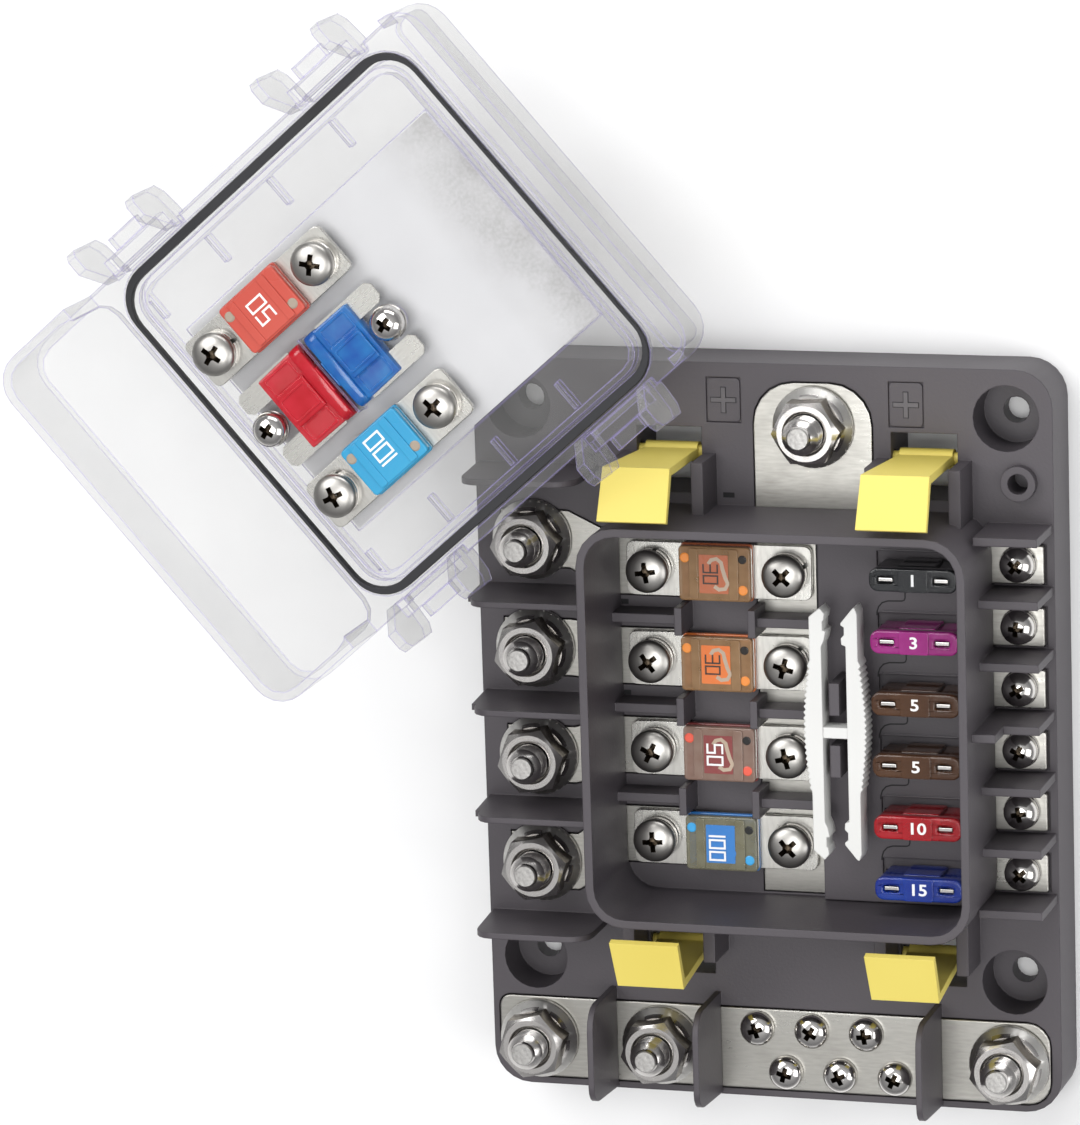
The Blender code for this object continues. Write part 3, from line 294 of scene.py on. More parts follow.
def label_silver():
    """Metallised film: bright, with a grainy grey band along one end."""
    made, tree, shader = new_material("label_film", 0.35, metallic=0.1)
    spot = tree.nodes.new("ShaderNodeTexCoord")
    split = tree.nodes.new("ShaderNodeSeparateXYZ")
    tree.links.new(spot.outputs["Object"], split.inputs[0])
    grain = noise_of(tree, 1300, 3.0).outputs["Fac"]
    wave = noise_of(tree, 110, 2.0).outputs["Fac"]
    drift = spread(tree, split.outputs["X"], 0.0, 0.5, 20 * MM, 36 * MM)
    band = math_of(tree, "MULTIPLY_ADD", spread(tree, grain, -0.35, 0.35), drift, drift)
    worn = math_of(tree, "MULTIPLY", band, spread(tree, wave, 0.5, 1.3))
    tone = ramp_of(tree, worn, ((0.0, (0.84, 0.84, 0.86)), (0.6, (0.56, 0.55, 0.55))))
    tree.links.new(tone, shader.inputs["Base Color"])
    bump_of(tree, shader, grain, 0.1, 0.00005)
    return made


silver = label_silver()


# Mesh tools

def to_mesh(name, fill):
    """A mesh made by a function that fills a bmesh."""
    mesh = bpy.data.meshes.new(name)
    work = bmesh.new()
    fill(work)
    bmesh.ops.recalc_face_normals(work, faces=work.faces)
    work.to_mesh(mesh)
    work.free()
    return mesh


def add_object(name, data):
    made = bpy.data.objects.new(name, data)
    bpy.context.scene.collection.objects.link(made)
    return made


def give(mesh, material):
    mesh.materials.clear()
    mesh.materials.append(material)


def place(name, mesh, material):
    give(mesh, material)
    return add_object(name, mesh)


def smooth(mesh, angle):
    """The mesh shaded smooth, but for its edges sharper than an angle in degrees."""
    mesh.shade_smooth()
    mesh.set_sharp_from_angle(angle=math.radians(angle))
    return mesh


def block(name, low, high, material, corner=0.0):
    """A box between two corners, its upright edges rounded by a radius."""
    size = [b - a for a, b in zip(low, high)]
    middle = [(a + b) / 2 for a, b in zip(low, high)]

    def fill(work):
        bmesh.ops.create_cube(work, size=1.0,
                              matrix=Matrix.Translation(middle) @ Matrix.Diagonal((*size, 1.0)))
        if corner:
            upright = [edge for edge in work.edges
                       if abs(edge.verts[0].co.z - edge.verts[1].co.z) > size[2] / 2]
            bmesh.ops.bevel(work, geom=upright, offset=corner, segments=4, profile=0.5,
                            affect="EDGES")

    return place(name, to_mesh(name, fill), material)


def lathe(name, profile, material, steps=48, turn=360):
    """A profile of (radius, height) in millimetres, turned about Z. It is listed from the top down.
    For a whole turn it begins and ends on the axis, and for less it is a closed loop."""
    whole = turn == 360
    columns = steps if whole else steps + 1

    def fill(work):
        rings = []
        for r, z in profile:
            if r == 0:
                rings.append([work.verts.new((0, 0, z * MM))] * columns)
                continue
            angles = [math.radians(turn) * i / steps for i in range(columns)]
            places = [(r * MM * math.cos(angle), r * MM * math.sin(angle), z * MM)
                      for angle in angles]
            rings.append([work.verts.new(place) for place in places])
        bands = list(zip(rings, rings[1:]))
        if not whole:
            bands.append((rings[-1], rings[0]))
            work.faces.new([ring[0] for ring in rings])
            work.faces.new([ring[-1] for ring in reversed(rings)])
        for i in range(steps):
            j = (i + 1) % columns
            for upper, lower in bands:
                corners = dict.fromkeys((upper[i], lower[i], lower[j], upper[j]))
                work.faces.new(list(corners))

    return place(name, to_mesh(name, fill), material)


def evaluated_mesh(obj):
    return bpy.data.meshes.new_from_object(
        obj.evaluated_get(bpy.context.evaluated_depsgraph_get()))


def mesh_of_curve(name, curve):
    holder = add_object(name, curve)
    mesh = evaluated_mesh(holder)
    bpy.data.objects.remove(holder)
    return mesh


def outline(name, loops, low, high, material, plane="XY"):
    """A flat shape with holes, drawn in a plane and extruded from low to high across it."""
    curve = bpy.data.curves.new(name, "CURVE")
    curve.dimensions = "2D"
    curve.fill_mode = "BOTH"
    curve.extrude = (high - low) / 2
    for loop in loops:
        spline = curve.splines.new("POLY")
        spline.points.add(len(loop) - 1)
        for point, (u, v) in zip(spline.points, loop):
            point.co = (u, v, 0, 1)
        spline.use_cyclic_u = True
    mesh = mesh_of_curve(name, curve)
    middle = (low + high) / 2
    turns = {"XY": Matrix.Translation((0, 0, middle)),
             "XZ": Matrix.Translation((0, middle, 0)) @ Matrix.Rotation(math.pi / 2, 4, "X")}
    work = bmesh.new()
    work.from_mesh(mesh)
    bmesh.ops.remove_doubles(work, verts=work.verts, dist=1e-6)
    bmesh.ops.transform(work, matrix=turns[plane], verts=work.verts)
    bmesh.ops.recalc_face_normals(work, faces=work.faces)
    work.to_mesh(mesh)
    work.free()
    return place(name, mesh, material)


def soften(obj, width):
    """Rounds an object's sharp edges by a width."""
    made = obj.modifiers.new("edges", "BEVEL")
    made.width = width
    made.segments = 2
    made.limit_method = "ANGLE"
    made.angle_limit = math.radians(30)
    made.use_clamp_overlap = False
    return obj


def combine(obj, other, operation):
    """Adds a Boolean to obj, which takes over the other's materials."""
    made = obj.modifiers.new(operation.lower(), "BOOLEAN")
    made.operation = operation
    made.solver = "EXACT"
    made.material_mode = "TRANSFER"
    made.object = other


def baked(obj, *helpers, angle):
    """The evaluated mesh of obj, smoothed. obj and its helpers are removed."""
    mesh = evaluated_mesh(obj)
    for old in (obj, *helpers):
        bpy.data.objects.remove(old)
    return smooth(mesh, angle)


def at(obj, location, turn=None):
    """Puts an object at a location and, if given, at three angles."""
    obj.location = location
    if turn is not None:
        obj.rotation_euler = turn
    return obj


def middle_of(node):
    low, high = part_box(node)
    return (low + high) / 2


def body_of(node):
    return nodes[node]["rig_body"]


def stand_for(piece, node):
    """The piece rides with a CAD node's body and is shown in its place."""
    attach(piece, body_of(node))
    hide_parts(node)
    return piece


# The CAD's flat faces share normals up to this angle
FACET_ANGLE = 32


def refined(node, material, fillers=()):
    """A copy of a CAD node with even shading, joined with any fillers."""
    def fill(work):
        work.from_mesh(nodes[node].data)
        bmesh.ops.remove_doubles(work, verts=work.verts, dist=2e-6)

    piece = place(node + "_finish", to_mesh(node + "_finish", fill), material)
    kept = piece.data.attributes.get("custom_normal")
    if kept:
        piece.data.attributes.remove(kept)
    if fillers:
        for filler in fillers:
            combine(piece, filler, "UNION")
        piece = place(node + "_finish", baked(piece, *fillers, angle=FACET_ANGLE), material)
    else:
        smooth(piece.data, FACET_ANGLE)
    piece.name = node + "_finish"
    even = piece.modifiers.new("even_shading", "WEIGHTED_NORMAL")
    even.mode = "FACE_AREA_WITH_ANGLE"
    even.weight = 80
    even.keep_sharp = True
    return stand_for(piece, node)


# Fasteners, each made once

HEAD_STEPS = 9
CROSS_TURN = 0.3
CROSS_DEPTH = 2.4


def cross_arm(top, reach, turn):
    """A tapered bar that cuts one arm of a cross recess, from above the head down into it."""
    rings = []

    def fill(work):
        for z, u, v in ((top + 1, reach * 1.06, 0.62), (top - CROSS_DEPTH, reach * 0.45, 0.42)):
            spin = Matrix.Rotation(turn + CROSS_TURN, 4, "Z")
            rings.append([work.verts.new(spin @ Vector((x * MM, y * MM, z * MM)))
                          for x, y in ((-u, -v), (u, -v), (u, v), (-u, v))])
        above, below = rings
        work.faces.new(above)
        work.faces.new(below[::-1])
        for i in range(4):
            j = (i + 1) % 4
            work.faces.new((above[i], below[i], below[j], above[j]))

    return place("arm", to_mesh("arm", fill), recess)


def phillips(name, radius, top, side, base, material, reach):
    """The mesh of a domed screw head with a cross recess, in millimetres. Its sides go from the
    height side down to base, where its underside is."""
    dome = []
    for i in range(HEAD_STEPS + 1):
        angle = math.pi / 2 * i / HEAD_STEPS
        dome.append((radius * math.sin(angle), side + (top - side) * math.cos(angle)))
    dome += [(radius, base + 0.25), (radius - 0.25, base), (0, base)]
    head = lathe(name, dome, material)
    cone = [(0, top + 1), (reach * 0.42, top + 1), (reach * 0.34, top - 2.2), (0, top - 2.7)]
    # The cutters leave their painted-shade colour on the faces of the recess that they cut.
    cutters = [cross_arm(top, reach, turn) for turn in (0, math.pi / 2)]
    cutters.append(lathe("core", cone, recess, 16))
    for cutter in cutters:
        combine(head, cutter, "DIFFERENCE")
    return baked(head, *cutters, angle=30)


def lock_washer(outer, inner, height):
    """The mesh of a split spring washer, in millimetres."""
    corner = 0.18
    profile = [(inner, height), (outer - corner, height), (outer, height - corner),
               (outer, corner), (outer - corner, 0), (inner, 0)]
    ring = lathe("lock_washer", profile, steel, 44, 348)
    mesh = smooth(ring.data, 30)
    bpy.data.objects.remove(ring)
    return mesh


def thread_profile(radius, low, high, tip, pitch):
    """A stud's profile from its tip down: a plain point, then rings of thread."""
    point = radius * 0.63
    rows = [(0, tip), (point - 0.3, tip), (point, tip - 0.3), (point + 0.15, high + 0.75),
            (radius * 0.86, high + 0.2)]
    z = high
    while z > low:
        rows += [(radius, z - 0.4 * pitch), (radius, z - 0.55 * pitch),
                 (radius * 0.86, z - 0.95 * pitch)]
        z -= pitch
    return rows + [(radius * 0.86, low - 0.4), (0, low - 0.4)]


def flange_nut(across, flange, height, bore):
    """A hexagon with chamfered corners on a round flange, bored through."""
    sides = []
    for i in range(6):
        angle = math.radians(60 * i + 12)
        sides.append((across / math.sqrt(3) * math.cos(angle) * MM,
                      across / math.sqrt(3) * math.sin(angle) * MM))
    hexagon = outline("hexagon", [sides], 1.2 * MM, height * MM, steel)
    corner = across / math.sqrt(3)
    cone = lathe("cone", [(0, height), (across / 2 - 0.5, height), (corner + 0.1, height - 1.0),
                          (corner + 0.1, 0.5), (0, 0.5)], steel, 64)
    combine(hexagon, cone, "INTERSECT")
    skirt = lathe("skirt", [(0, 3.2), (6.7, 3.0), (7.4, 2.0), (8.5, 1.35), (flange, 1.0),
                            (flange, 0.1), (flange - 0.2, 0), (0, 0)], steel, 64)
    combine(hexagon, skirt, "UNION")
    drill = lathe("drill", [(0, height + 1), (bore + 1.0, height + 1), (bore + 0.7, height),
                            (bore, height - 0.7), (bore, -1), (0, -1)], steel, 40)
    combine(hexagon, drill, "DIFFERENCE")
    made = baked(hexagon, cone, skirt, drill, angle=25)
    made.materials.append(nut_side_shade)
    made.materials.append(flange_top)
    # Painted shade: the hexagon's upright faces take the darker copy of the steel.
    for face in made.polygons:
        if abs(face.normal.z) < 0.3 and face.center.z > 2 * MM:
            face.material_index = 1
        elif face.center.z < 2.4 * MM:
            face.material_index = 2
    return made


def serration(flange):
    """The stamped ticks round the top of a nut's flange."""
    def fill(work):
        for i in range(30):
            angle = 2 * math.pi * i / 30
            turn = Matrix.Rotation(angle, 4, "Z")
            out = Matrix.Translation(((flange - 0.62) * MM, 0, 1.1 * MM))
            size = Matrix.Diagonal((1.0 * MM, 0.32 * MM, 0.3 * MM, 1))
            bmesh.ops.create_cube(work, size=1.0, matrix=turn @ out @ size)

    return to_mesh("serration", fill)


HEAD_TOP = 4.7  # a fuse screw's top over its washer's underside, in millimetres
big_head = phillips("pan_head", 4.7, HEAD_TOP, 3.0, 2.1, dull_steel, 2.7)
ball_head = phillips("ball_head", 3.75, 4.3, 1.9, 1.1, bright, 2.0)
low_ball = phillips("low_ball", 3.75, 3.0, 0.9, 0.05, bright, 2.0)
washer_mesh = lock_washer(4.55, 2.7, 1.5)
small_washer = lock_washer(3.9, 2.3, 1.0)
FLANGE = 8.75
nut_mesh = flange_nut(13, FLANGE, 8, 4.15)
tick_mesh = serration(FLANGE)


def linked(name, mesh, location, turn, node, replace=True):
    """One more object on a shared mesh, riding with a CAD node's body."""
    made = at(add_object(name, mesh), location, turn)
    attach(made, body_of(node))
    if replace:
        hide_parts(node)
    return made


# Heights on a stud over its nut's underside, in millimetres
THREAD_LOW, THREAD_HIGH, STUD_TIP = 7.4, 27.4 - 15.5, 29.2 - 15.5


def make_terminals():
    names = ["input"] + [f"output_{i}" for i in range(1, 5)]
    names += [f"negative_{i}" for i in range(1, 4)]
    profile = thread_profile(3.95, THREAD_LOW, THREAD_HIGH, STUD_TIP, 1.0)
    stud = lathe("stud_thread", profile, steel, 40)
    stud.data.materials.append(turned_end)
    for face in stud.data.polygons:
        face.material_index = int(face.center.z > (STUD_TIP - 0.3) * MM)
    stud_mesh = smooth(stud.data, 40)
    bpy.data.objects.remove(stud)
    tick_mesh.materials.append(steel)
    for index, name in enumerate(names):
        centre = middle_of(name + "_nut")
        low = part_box(name + "_nut")[0].z
        spot = (centre.x, centre.y, low)
        degrees = {"input": -9, "output_1": -7}.get(name, -2 + 2 * (index % 3))
        turn = (0, 0, math.radians(degrees))
        linked(name + "_nut_finish", nut_mesh, spot, turn, name + "_nut")
        linked(name + "_flange_ticks", tick_mesh, spot, turn, name + "_nut", replace=False)
        linked(name + "_stud_finish", stud_mesh, spot, turn, name + "_stud")


def make_fuse_screws():
    for side in ("left", "right"):
        for index in range(1, 5):
            node = f"fuse_screw_{side}_{index}"
            centre = middle_of(node)
            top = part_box(node)[1].z
            spot = (centre.x, centre.y, top - HEAD_TOP * MM)
            turn = (0, 0, 0.5 * index + (0.9 if side == "left" else 0.0))
            linked(node + "_head", big_head, spot, turn, node)
            linked(node + "_washer", washer_mesh, spot, turn, node, replace=False)


def rounded(low, high, radius, steps=5):
    """The outline of a rectangle with round corners."""
    points = []
    for x, y, start in ((high[0] - radius, high[1] - radius, 0),
                        (low[0] + radius, high[1] - radius, 90),
                        (low[0] + radius, low[1] + radius, 180),
                        (high[0] - radius, low[1] + radius, 270)):
        for i in range(steps + 1):
            angle = math.radians(start + 90 * i / steps)
            points.append((x + radius * math.cos(angle), y + radius * math.sin(angle)))
    return points


def disc(centre, radius):
    """The outline of a circle, in 24 steps."""
    return [(centre[0] + radius * math.cos(2 * math.pi * i / 24),
             centre[1] + radius * math.sin(2 * math.pi * i / 24)) for i in range(24)]


def digits(name, words, size, material, parent, location, depth, stretch):
    """Raised figures, as a mesh, under a parent. Their height is stretched."""
    curve = bpy.data.curves.new(name, "FONT")
    curve.body = words
    curve.size = size
    curve.extrude = depth
    curve.offset = 0.00008
    curve.align_x = "CENTER"
    curve.align_y = "CENTER"
    curve.resolution_u = 4
    made = place(name, mesh_of_curve(name, curve), material)
    made.scale = (1, stretch, 1)
    made.parent = parent
    return at(made, location)


# The bars of each figure: a top, b and c right, d bottom, e and f left, g middle
STROKES = {"0": "abcdef", "1": "bc", "3": "abcdg", "5": "acdfg"}


def stroke_figures(name, words, high, line, material, parent, location, turn, tall=0.12 * MM):
    """Figures drawn as plain bars, the way a mould engraver cuts them."""
    half, wide = high / 2, high * 0.27
    bars = {"a": (-wide, half, wide, half), "g": (-wide, 0, wide, 0),
            "d": (-wide, -half, wide, -half), "b": (wide, 0, wide, half),
            "c": (wide, -half, wide, 0), "f": (-wide, 0, -wide, half),
            "e": (-wide, -half, -wide, 0)}
    pitch = 2 * wide + line + high * 0.13

    def fill(work):
        for index, word in enumerate(words):
            shift = (index - (len(words) - 1) / 2) * pitch
            for order, letter in enumerate(STROKES[word]):
                x0, y0, x1, y1 = bars[letter]
                rise = tall + order * 0.004 * MM
                size = Matrix.Diagonal((x1 - x0 + line, y1 - y0 + line, rise, 1))
                middle = Matrix.Translation(((x0 + x1) / 2 + shift, (y0 + y1) / 2, rise / 2))
                bmesh.ops.create_cube(work, size=1.0, matrix=middle @ size)

    made = place(name, to_mesh(name, fill), material)
    made.parent = parent
    return at(made, location, turn)


def ribbon(name, points, wide, low, high, material):
    """A flat band of even width along a path, in metres."""
    sides = ([], [])
    for i, (x, y) in enumerate(points):
        before, after = points[max(i - 1, 0)], points[min(i + 1, len(points) - 1)]
        along = Vector((after[0] - before[0], after[1] - before[1])).normalized()
        for side, way in zip(sides, (1, -1)):
            side.append((x - along.y * wide / 2 * way, y + along.x * wide / 2 * way))
    return outline(name, [sides[0] + sides[1][::-1]], low, high, material)


def bolt_fuse(name, node, body_colour, core_colour, link_colour, dot_colour, spot, turn,
              solid=False):
    """A bolt-down fuse. It is built with its origin under the middle of its block."""
    tab = rounded((-20.4 * MM, -5.9 * MM), (20.4 * MM, 5.9 * MM), 1.6 * MM)
    strip = outline(name + "_strip", [tab, disc((-15 * MM, 0), 2.8 * MM),
                                      disc((15 * MM, 0), 2.8 * MM)], 0.05 * MM, 1.5 * MM, tin_plain)
    soften(strip, 0.12 * MM)
    half = 7.9 * MM
    slab = outline(name + "_slab", [rounded((-half, -6.2 * MM), (half, 6.2 * MM), 0.6 * MM, 3)],
                   1.55 * MM, 2.9 * MM, core_colour)
    soften(slab, 0.2 * MM)
    body = outline(name + "_block", [rounded((-half, -5.95 * MM), (half, 5.95 * MM), 0.8 * MM, 3)],
                   2.9 * MM, 4.9 * MM, body_colour)
    soften(body, 0.3 * MM)
    raised = outline(name + "_window", [rounded((-5.5 * MM, -5.5 * MM), (5.3 * MM, 5.5 * MM),
                                                0.6 * MM, 3)], 4.9 * MM, 5.1 * MM, body_colour)
    soften(raised, 0.08 * MM)
    pieces = [slab, body, raised]
    for index, (x0, x1) in enumerate(((-5.5, -3.6), (3.3, 5.3))):
        step = outline(f"{name}_ridge_{index}", [rounded((x0 * MM, -5.5 * MM), (x1 * MM, 5.5 * MM),
                                                         0.4 * MM, 3)], 5.1 * MM, 5.3 * MM,
                       body_colour)
        pieces.append(soften(step, 0.08 * MM))
    if not solid:
        core = outline(name + "_core", [rounded((-3.3 * MM, -4.2 * MM), (3.1 * MM, 4.2 * MM),
                                                0.2 * MM, 3)], 5.1 * MM, 5.16 * MM, core_colour)
        bend = [(-1.2, 2.2), (-0.6, 3.1), (0.6, 3.4), (1.6, 2.6), (1.9, 1.2), (2.4, -0.6),
                (3.0, -2.0), (2.4, -3.1), (1.0, -3.3), (0.0, -2.6)]
        link = ribbon(name + "_link", [(x * MM, y * MM) for x, y in bend], 0.85 * MM, 5.14 * MM,
                      5.2 * MM, link_colour)
        pieces += [core, link]
    high = 5.1 if solid else 5.0
    for index, (x, y) in enumerate(((-6.5, 3.4), (6.2, -3.4))):
        rivet = lathe(f"{name}_rivet_{index}", [(0, high), (0.85, high), (1.15, high - 0.15),
                                                (1.15, 4.2), (0, 4.2)], dot_colour, 24)
        at(rivet, (x * MM, y * MM, 0))
        pieces.append(rivet)
    if not solid:
        eye = lathe(name + "_eye", [(0, 5.02), (0.8, 5.02), (0.95, 4.9), (0.95, 4.2), (0, 4.2)],
                    smoke_black, 20)
        pieces.append(at(eye, (6.2 * MM, 3.3 * MM, 0)))
    for piece in pieces:
        piece.parent = strip
    at(strip, spot, turn)
    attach(strip, body_of(node))
    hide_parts(node)
    return strip


def blade_fuse(name, node, colour, figures, spot, turn, framed=False):
    """A blade fuse: a capped body on two blades. Its origin is under the middle of its body."""
    blades = []
    for side in (-1, 1):
        shape = [(-2.6, 9), (-2.6, -5.7), (-1.4, -6.85), (1.4, -6.85), (2.6, -5.7), (2.6, 9)]
        loop = [((x + side * 7.1) * MM, z * MM) for x, z in shape]
        blades.append(outline(f"{name}_blade_{side}", [loop], -0.32 * MM, 0.32 * MM, tin_plain,
                              "XZ"))
    lead = blades[0]
    link = block(name + "_link", (-4.8 * MM, -0.3 * MM, 5.2 * MM), (4.8 * MM, 0.3 * MM, 6.2 * MM),
                 tin_plain)
    lower = [(-9.0, 0), (9.0, 0), (9.2, 9.6), (-9.2, 9.6)]
    body = outline(name + "_body", [[(x * MM, z * MM) for x, z in lower]], -1.85 * MM, 1.85 * MM,
                   colour, "XZ")
    soften(body, 0.35 * MM)
    bay = block(name + "_bay", (-4.0 * MM, -2.2 * MM, 1.0 * MM), (4.0 * MM, 2.5 * MM, 9.0 * MM),
                colour)
    soften(bay, 0.3 * MM)
    holes = [rounded(((x - 1.7) * MM, -0.8 * MM), ((x + 1.7) * MM, 0.8 * MM), 0.4 * MM, 3)
             for x in (-6.0, 6.0)]
    cap = outline(name + "_cap", [rounded((-9.5 * MM, -2.5 * MM), (9.5 * MM, 2.5 * MM),
                                          1.9 * MM)] + holes, 9.4 * MM, 12.2 * MM, colour)
    soften(cap, 0.35 * MM)
    pad = outline(name + "_pad", [rounded((-3.2 * MM, -2.45 * MM), (3.2 * MM, 2.45 * MM), 0.5 * MM,
                                          3)], 12.1 * MM, 12.5 * MM, colour)
    soften(pad, 0.12 * MM)
    pieces = [blades[1], link, body, bay, cap, pad]
    for index, x in enumerate((-6.0, 6.0)):
        point = block(f"{name}_test_point_{index}", ((x - 1.5) * MM, -0.38 * MM, 8.8 * MM),
                      ((x + 1.5) * MM, 0.38 * MM, 11.7 * MM), bright)
        soften(point, 0.1 * MM)
        pieces.append(point)
    if framed:
        for side in (-1, 1):
            for index, (x0, x1) in enumerate(((-8.4, -3.6), (-3.0, 3.0), (3.6, 8.4))):
                deep = 1.85 * MM if index != 1 else (2.5 * MM if side > 0 else 2.2 * MM)
                low, high = sorted((side * (deep - 0.05 * MM), side * (deep + 0.2 * MM)))
                rim = rounded((x0 * MM, 1.0 * MM), (x1 * MM, 8.6 * MM), 0.6 * MM, 3)
                hollow = rounded(((x0 + 0.5) * MM, 1.5 * MM), ((x1 - 0.5) * MM, 8.1 * MM), 0.4 * MM,
                                 3)
                frame_rim = outline(f"{name}_frame_{index}_{(side + 1) // 2}", [rim, hollow], low,
                                    high, colour, "XZ")
                pieces.append(soften(frame_rim, 0.08 * MM))
    for piece in pieces:
        piece.parent = lead
    if figures:
        digits(name + "_figures", figures, 4.1 * MM, digit_white, lead, (0, 0, 12.5 * MM),
               0.08 * MM, 0.85)
    at(lead, spot, turn)
    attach(lead, body_of(node))
    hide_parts(node)
    return lead


amber_clear = tinted("amber_frame", (0.4, 0.24, 0.12), (0.26, 0.14, 0.055), 0.66)
olive_clear = tinted("olive_frame", (0.26, 0.25, 0.17), (0.17, 0.15, 0.08), 0.66)
peach_clear = tinted("peach_frame", (0.36, 0.25, 0.2), (0.26, 0.14, 0.1), 0.66)
brick_core = moulded("brick_core", (0.42, 0.1, 0.035), (0.5, 0.14, 0.05), 0.3, coat=0.3)
orange_core = moulded("orange_core", (0.68, 0.15, 0.02), (0.78, 0.2, 0.035), 0.3, coat=0.3)
maroon_core = moulded("maroon_core", (0.2, 0.03, 0.03), (0.26, 0.045, 0.04), 0.3, coat=0.3)
azure_core = moulded("azure_core", (0.02, 0.17, 0.5), (0.035, 0.22, 0.6), 0.3, coat=0.3)
pale_link = moulded("pale_link", (0.42, 0.33, 0.24), (0.52, 0.4, 0.3), 0.3, coat=0.4)
orange_dot = moulded("orange_dot", (0.8, 0.24, 0.03), (0.9, 0.32, 0.06), 0.3)
red_dot = moulded("red_dot", (0.75, 0.09, 0.05), (0.82, 0.13, 0.08), 0.3)
blue_dot = moulded("blue_dot", (0.03, 0.34, 0.72), (0.06, 0.42, 0.8), 0.3)
coral = moulded("coral_block", (0.5, 0.062, 0.04), (0.57, 0.085, 0.055), 0.3, coat=0.3,
                radius=0.2 * MM)
sky = moulded("sky_block", (0.02, 0.28, 0.52), (0.03, 0.35, 0.59), 0.3, coat=0.3, radius=0.2 * MM)
pale_rivet = moulded("pale_rivet", (0.32, 0.26, 0.2), (0.4, 0.33, 0.26), 0.4)
smoke_black = tinted("smoke_blade", (0.013, 0.014, 0.016), (0.03, 0.033, 0.036), 0.8)
violet = tinted("violet_blade", (0.34, 0.012, 0.2), (0.46, 0.04, 0.3), 0.72)
brown = tinted("brown_blade", (0.07, 0.026, 0.009), (0.12, 0.052, 0.02), 0.72)
red = tinted("red_blade", (0.36, 0.004, 0.01), (0.52, 0.012, 0.022), 0.74)
blue = tinted("blue_blade", (0.006, 0.022, 0.26), (0.012, 0.07, 0.42), 0.74)
spare_red = tinted("spare_red_blade", (0.52, 0.008, 0.018), (0.68, 0.022, 0.045), 0.76)
spare_blue = tinted("spare_blue_blade", (0.01, 0.1, 0.42), (0.03, 0.26, 0.6), 0.75)


def make_fuses():
    looks = ((amber_clear, brick_core, pale_link, "30", digit_dark, orange_dot),
             (amber_clear, orange_core, pale_link, "30", digit_dark, orange_dot),
             (peach_clear, maroon_core, pale_link, "50", digit_white, red_dot),
             (olive_clear, azure_core, azure_core, "100", digit_white, blue_dot))
    for index, (body, core, link, figures, ink, dot) in enumerate(looks, 1):
        node = f"bolt_fuse_{index}"
        centre = middle_of(node)
        spot = (centre.x, centre.y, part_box(node)[0].z)
        fuse = bolt_fuse(node + "_finish", node, body, core, link, dot, spot, (0, 0, 0))
        high = 3.1 * MM if ink is digit_dark else 3.3 * MM
        line = 0.3 * MM if ink is digit_dark else 0.42 * MM
        stroke_figures(node + "_figures", figures, high, line, ink, fuse, (-0.8 * MM, 0, 5.2 * MM),
                       (0, 0, -math.pi / 2))
    colours = ((smoke_black, "1"), (violet, "3"), (brown, "5"), (brown, "5"), (red, "10"),
               (blue, "15"))
    for index, (colour, figures) in enumerate(colours, 1):
        node = f"blade_fuse_{index}"
        low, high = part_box(node)
        spot = ((low.x + high.x) / 2, (low.y + high.y) / 2, low.z + 6.9 * MM)
        blade_fuse(node + "_finish", node, colour, figures, spot, (0, 0, 0))


# Base, deck, busbars and terminals

KEY_SLOTS = ((-7.1, 52.3), (-31.3, 28.2), (-31.3, 8.1))
DECK_TOP = 18.6 * MM
TEETH = 22  # on each of the puller's arms


def make_base():
    """The base and its busbars, two + marks, and the dark gaps that the photo shows, drawn as
    blocks of painted shade.
    """
    refined("base_housing", charcoal)
    refined("fuse_deck", charcoal)
    refined("positive_busbar", tin)
    for index in range(1, 5):
        refined(f"output_busbar_{index}", tin)
    plate_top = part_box("positive_busbar")[1].z - 0.2 * MM
    for index, x in enumerate((-7.8 * MM, 32.0 * MM)):
        tile = rounded((x - 3.62 * MM, 68.18 * MM), (x + 3.62 * MM, 77.62 * MM), 0.9 * MM, 4)
        pad = outline(f"plus_pad_{index}", [tile], plate_top - 0.55 * MM, plate_top - 0.02 * MM,
                      charcoal)
        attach(soften(pad, 0.1 * MM), "base")
        # Each bar of a + mark is a painted highlight in the lighter charcoal, over a larger block
        # of painted shade that rings it like a groove.
        for way, (half_x, half_y) in enumerate(((2.7, 0.45), (0.45, 2.7))):
            for grow, rise, look, kind in ((0.16, 0.0, painted_gap_shade, "groove"),
                                           (0.0, 0.14 + 0.01 * way, charcoal_highlight, "bar")):
                low = (x - (half_x + grow) * MM, (72.9 - half_y - grow) * MM, plate_top - 0.3 * MM)
                high = (x + (half_x + grow) * MM, (72.9 + half_y + grow) * MM,
                        plate_top + (rise + 0.004 * way) * MM)
                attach(block(f"plus_{kind}_{index}_{way}", low, high, look), "base")
    # Painted shade: a dark slab stands in the gap beside the deck.
    gap = block("deck_gap", (12.6 * MM, 22 * MM, 15.3 * MM), (12.98 * MM, 47.4 * MM, 18.5 * MM),
                painted_gap_shade)
    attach(gap, "base")
    # Painted shade: a dark block on the plate at each key slot.
    for index, (x, y) in enumerate(KEY_SLOTS):
        slot = block(f"key_slot_{index}", ((x - 1.25) * MM, (y - 0.55) * MM, plate_top - 0.5 * MM),
                     ((x + 1.25) * MM, (y + 0.55) * MM, plate_top + 0.02 * MM), painted_gap_shade)
        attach(slot, "base")
    make_deck_lines()


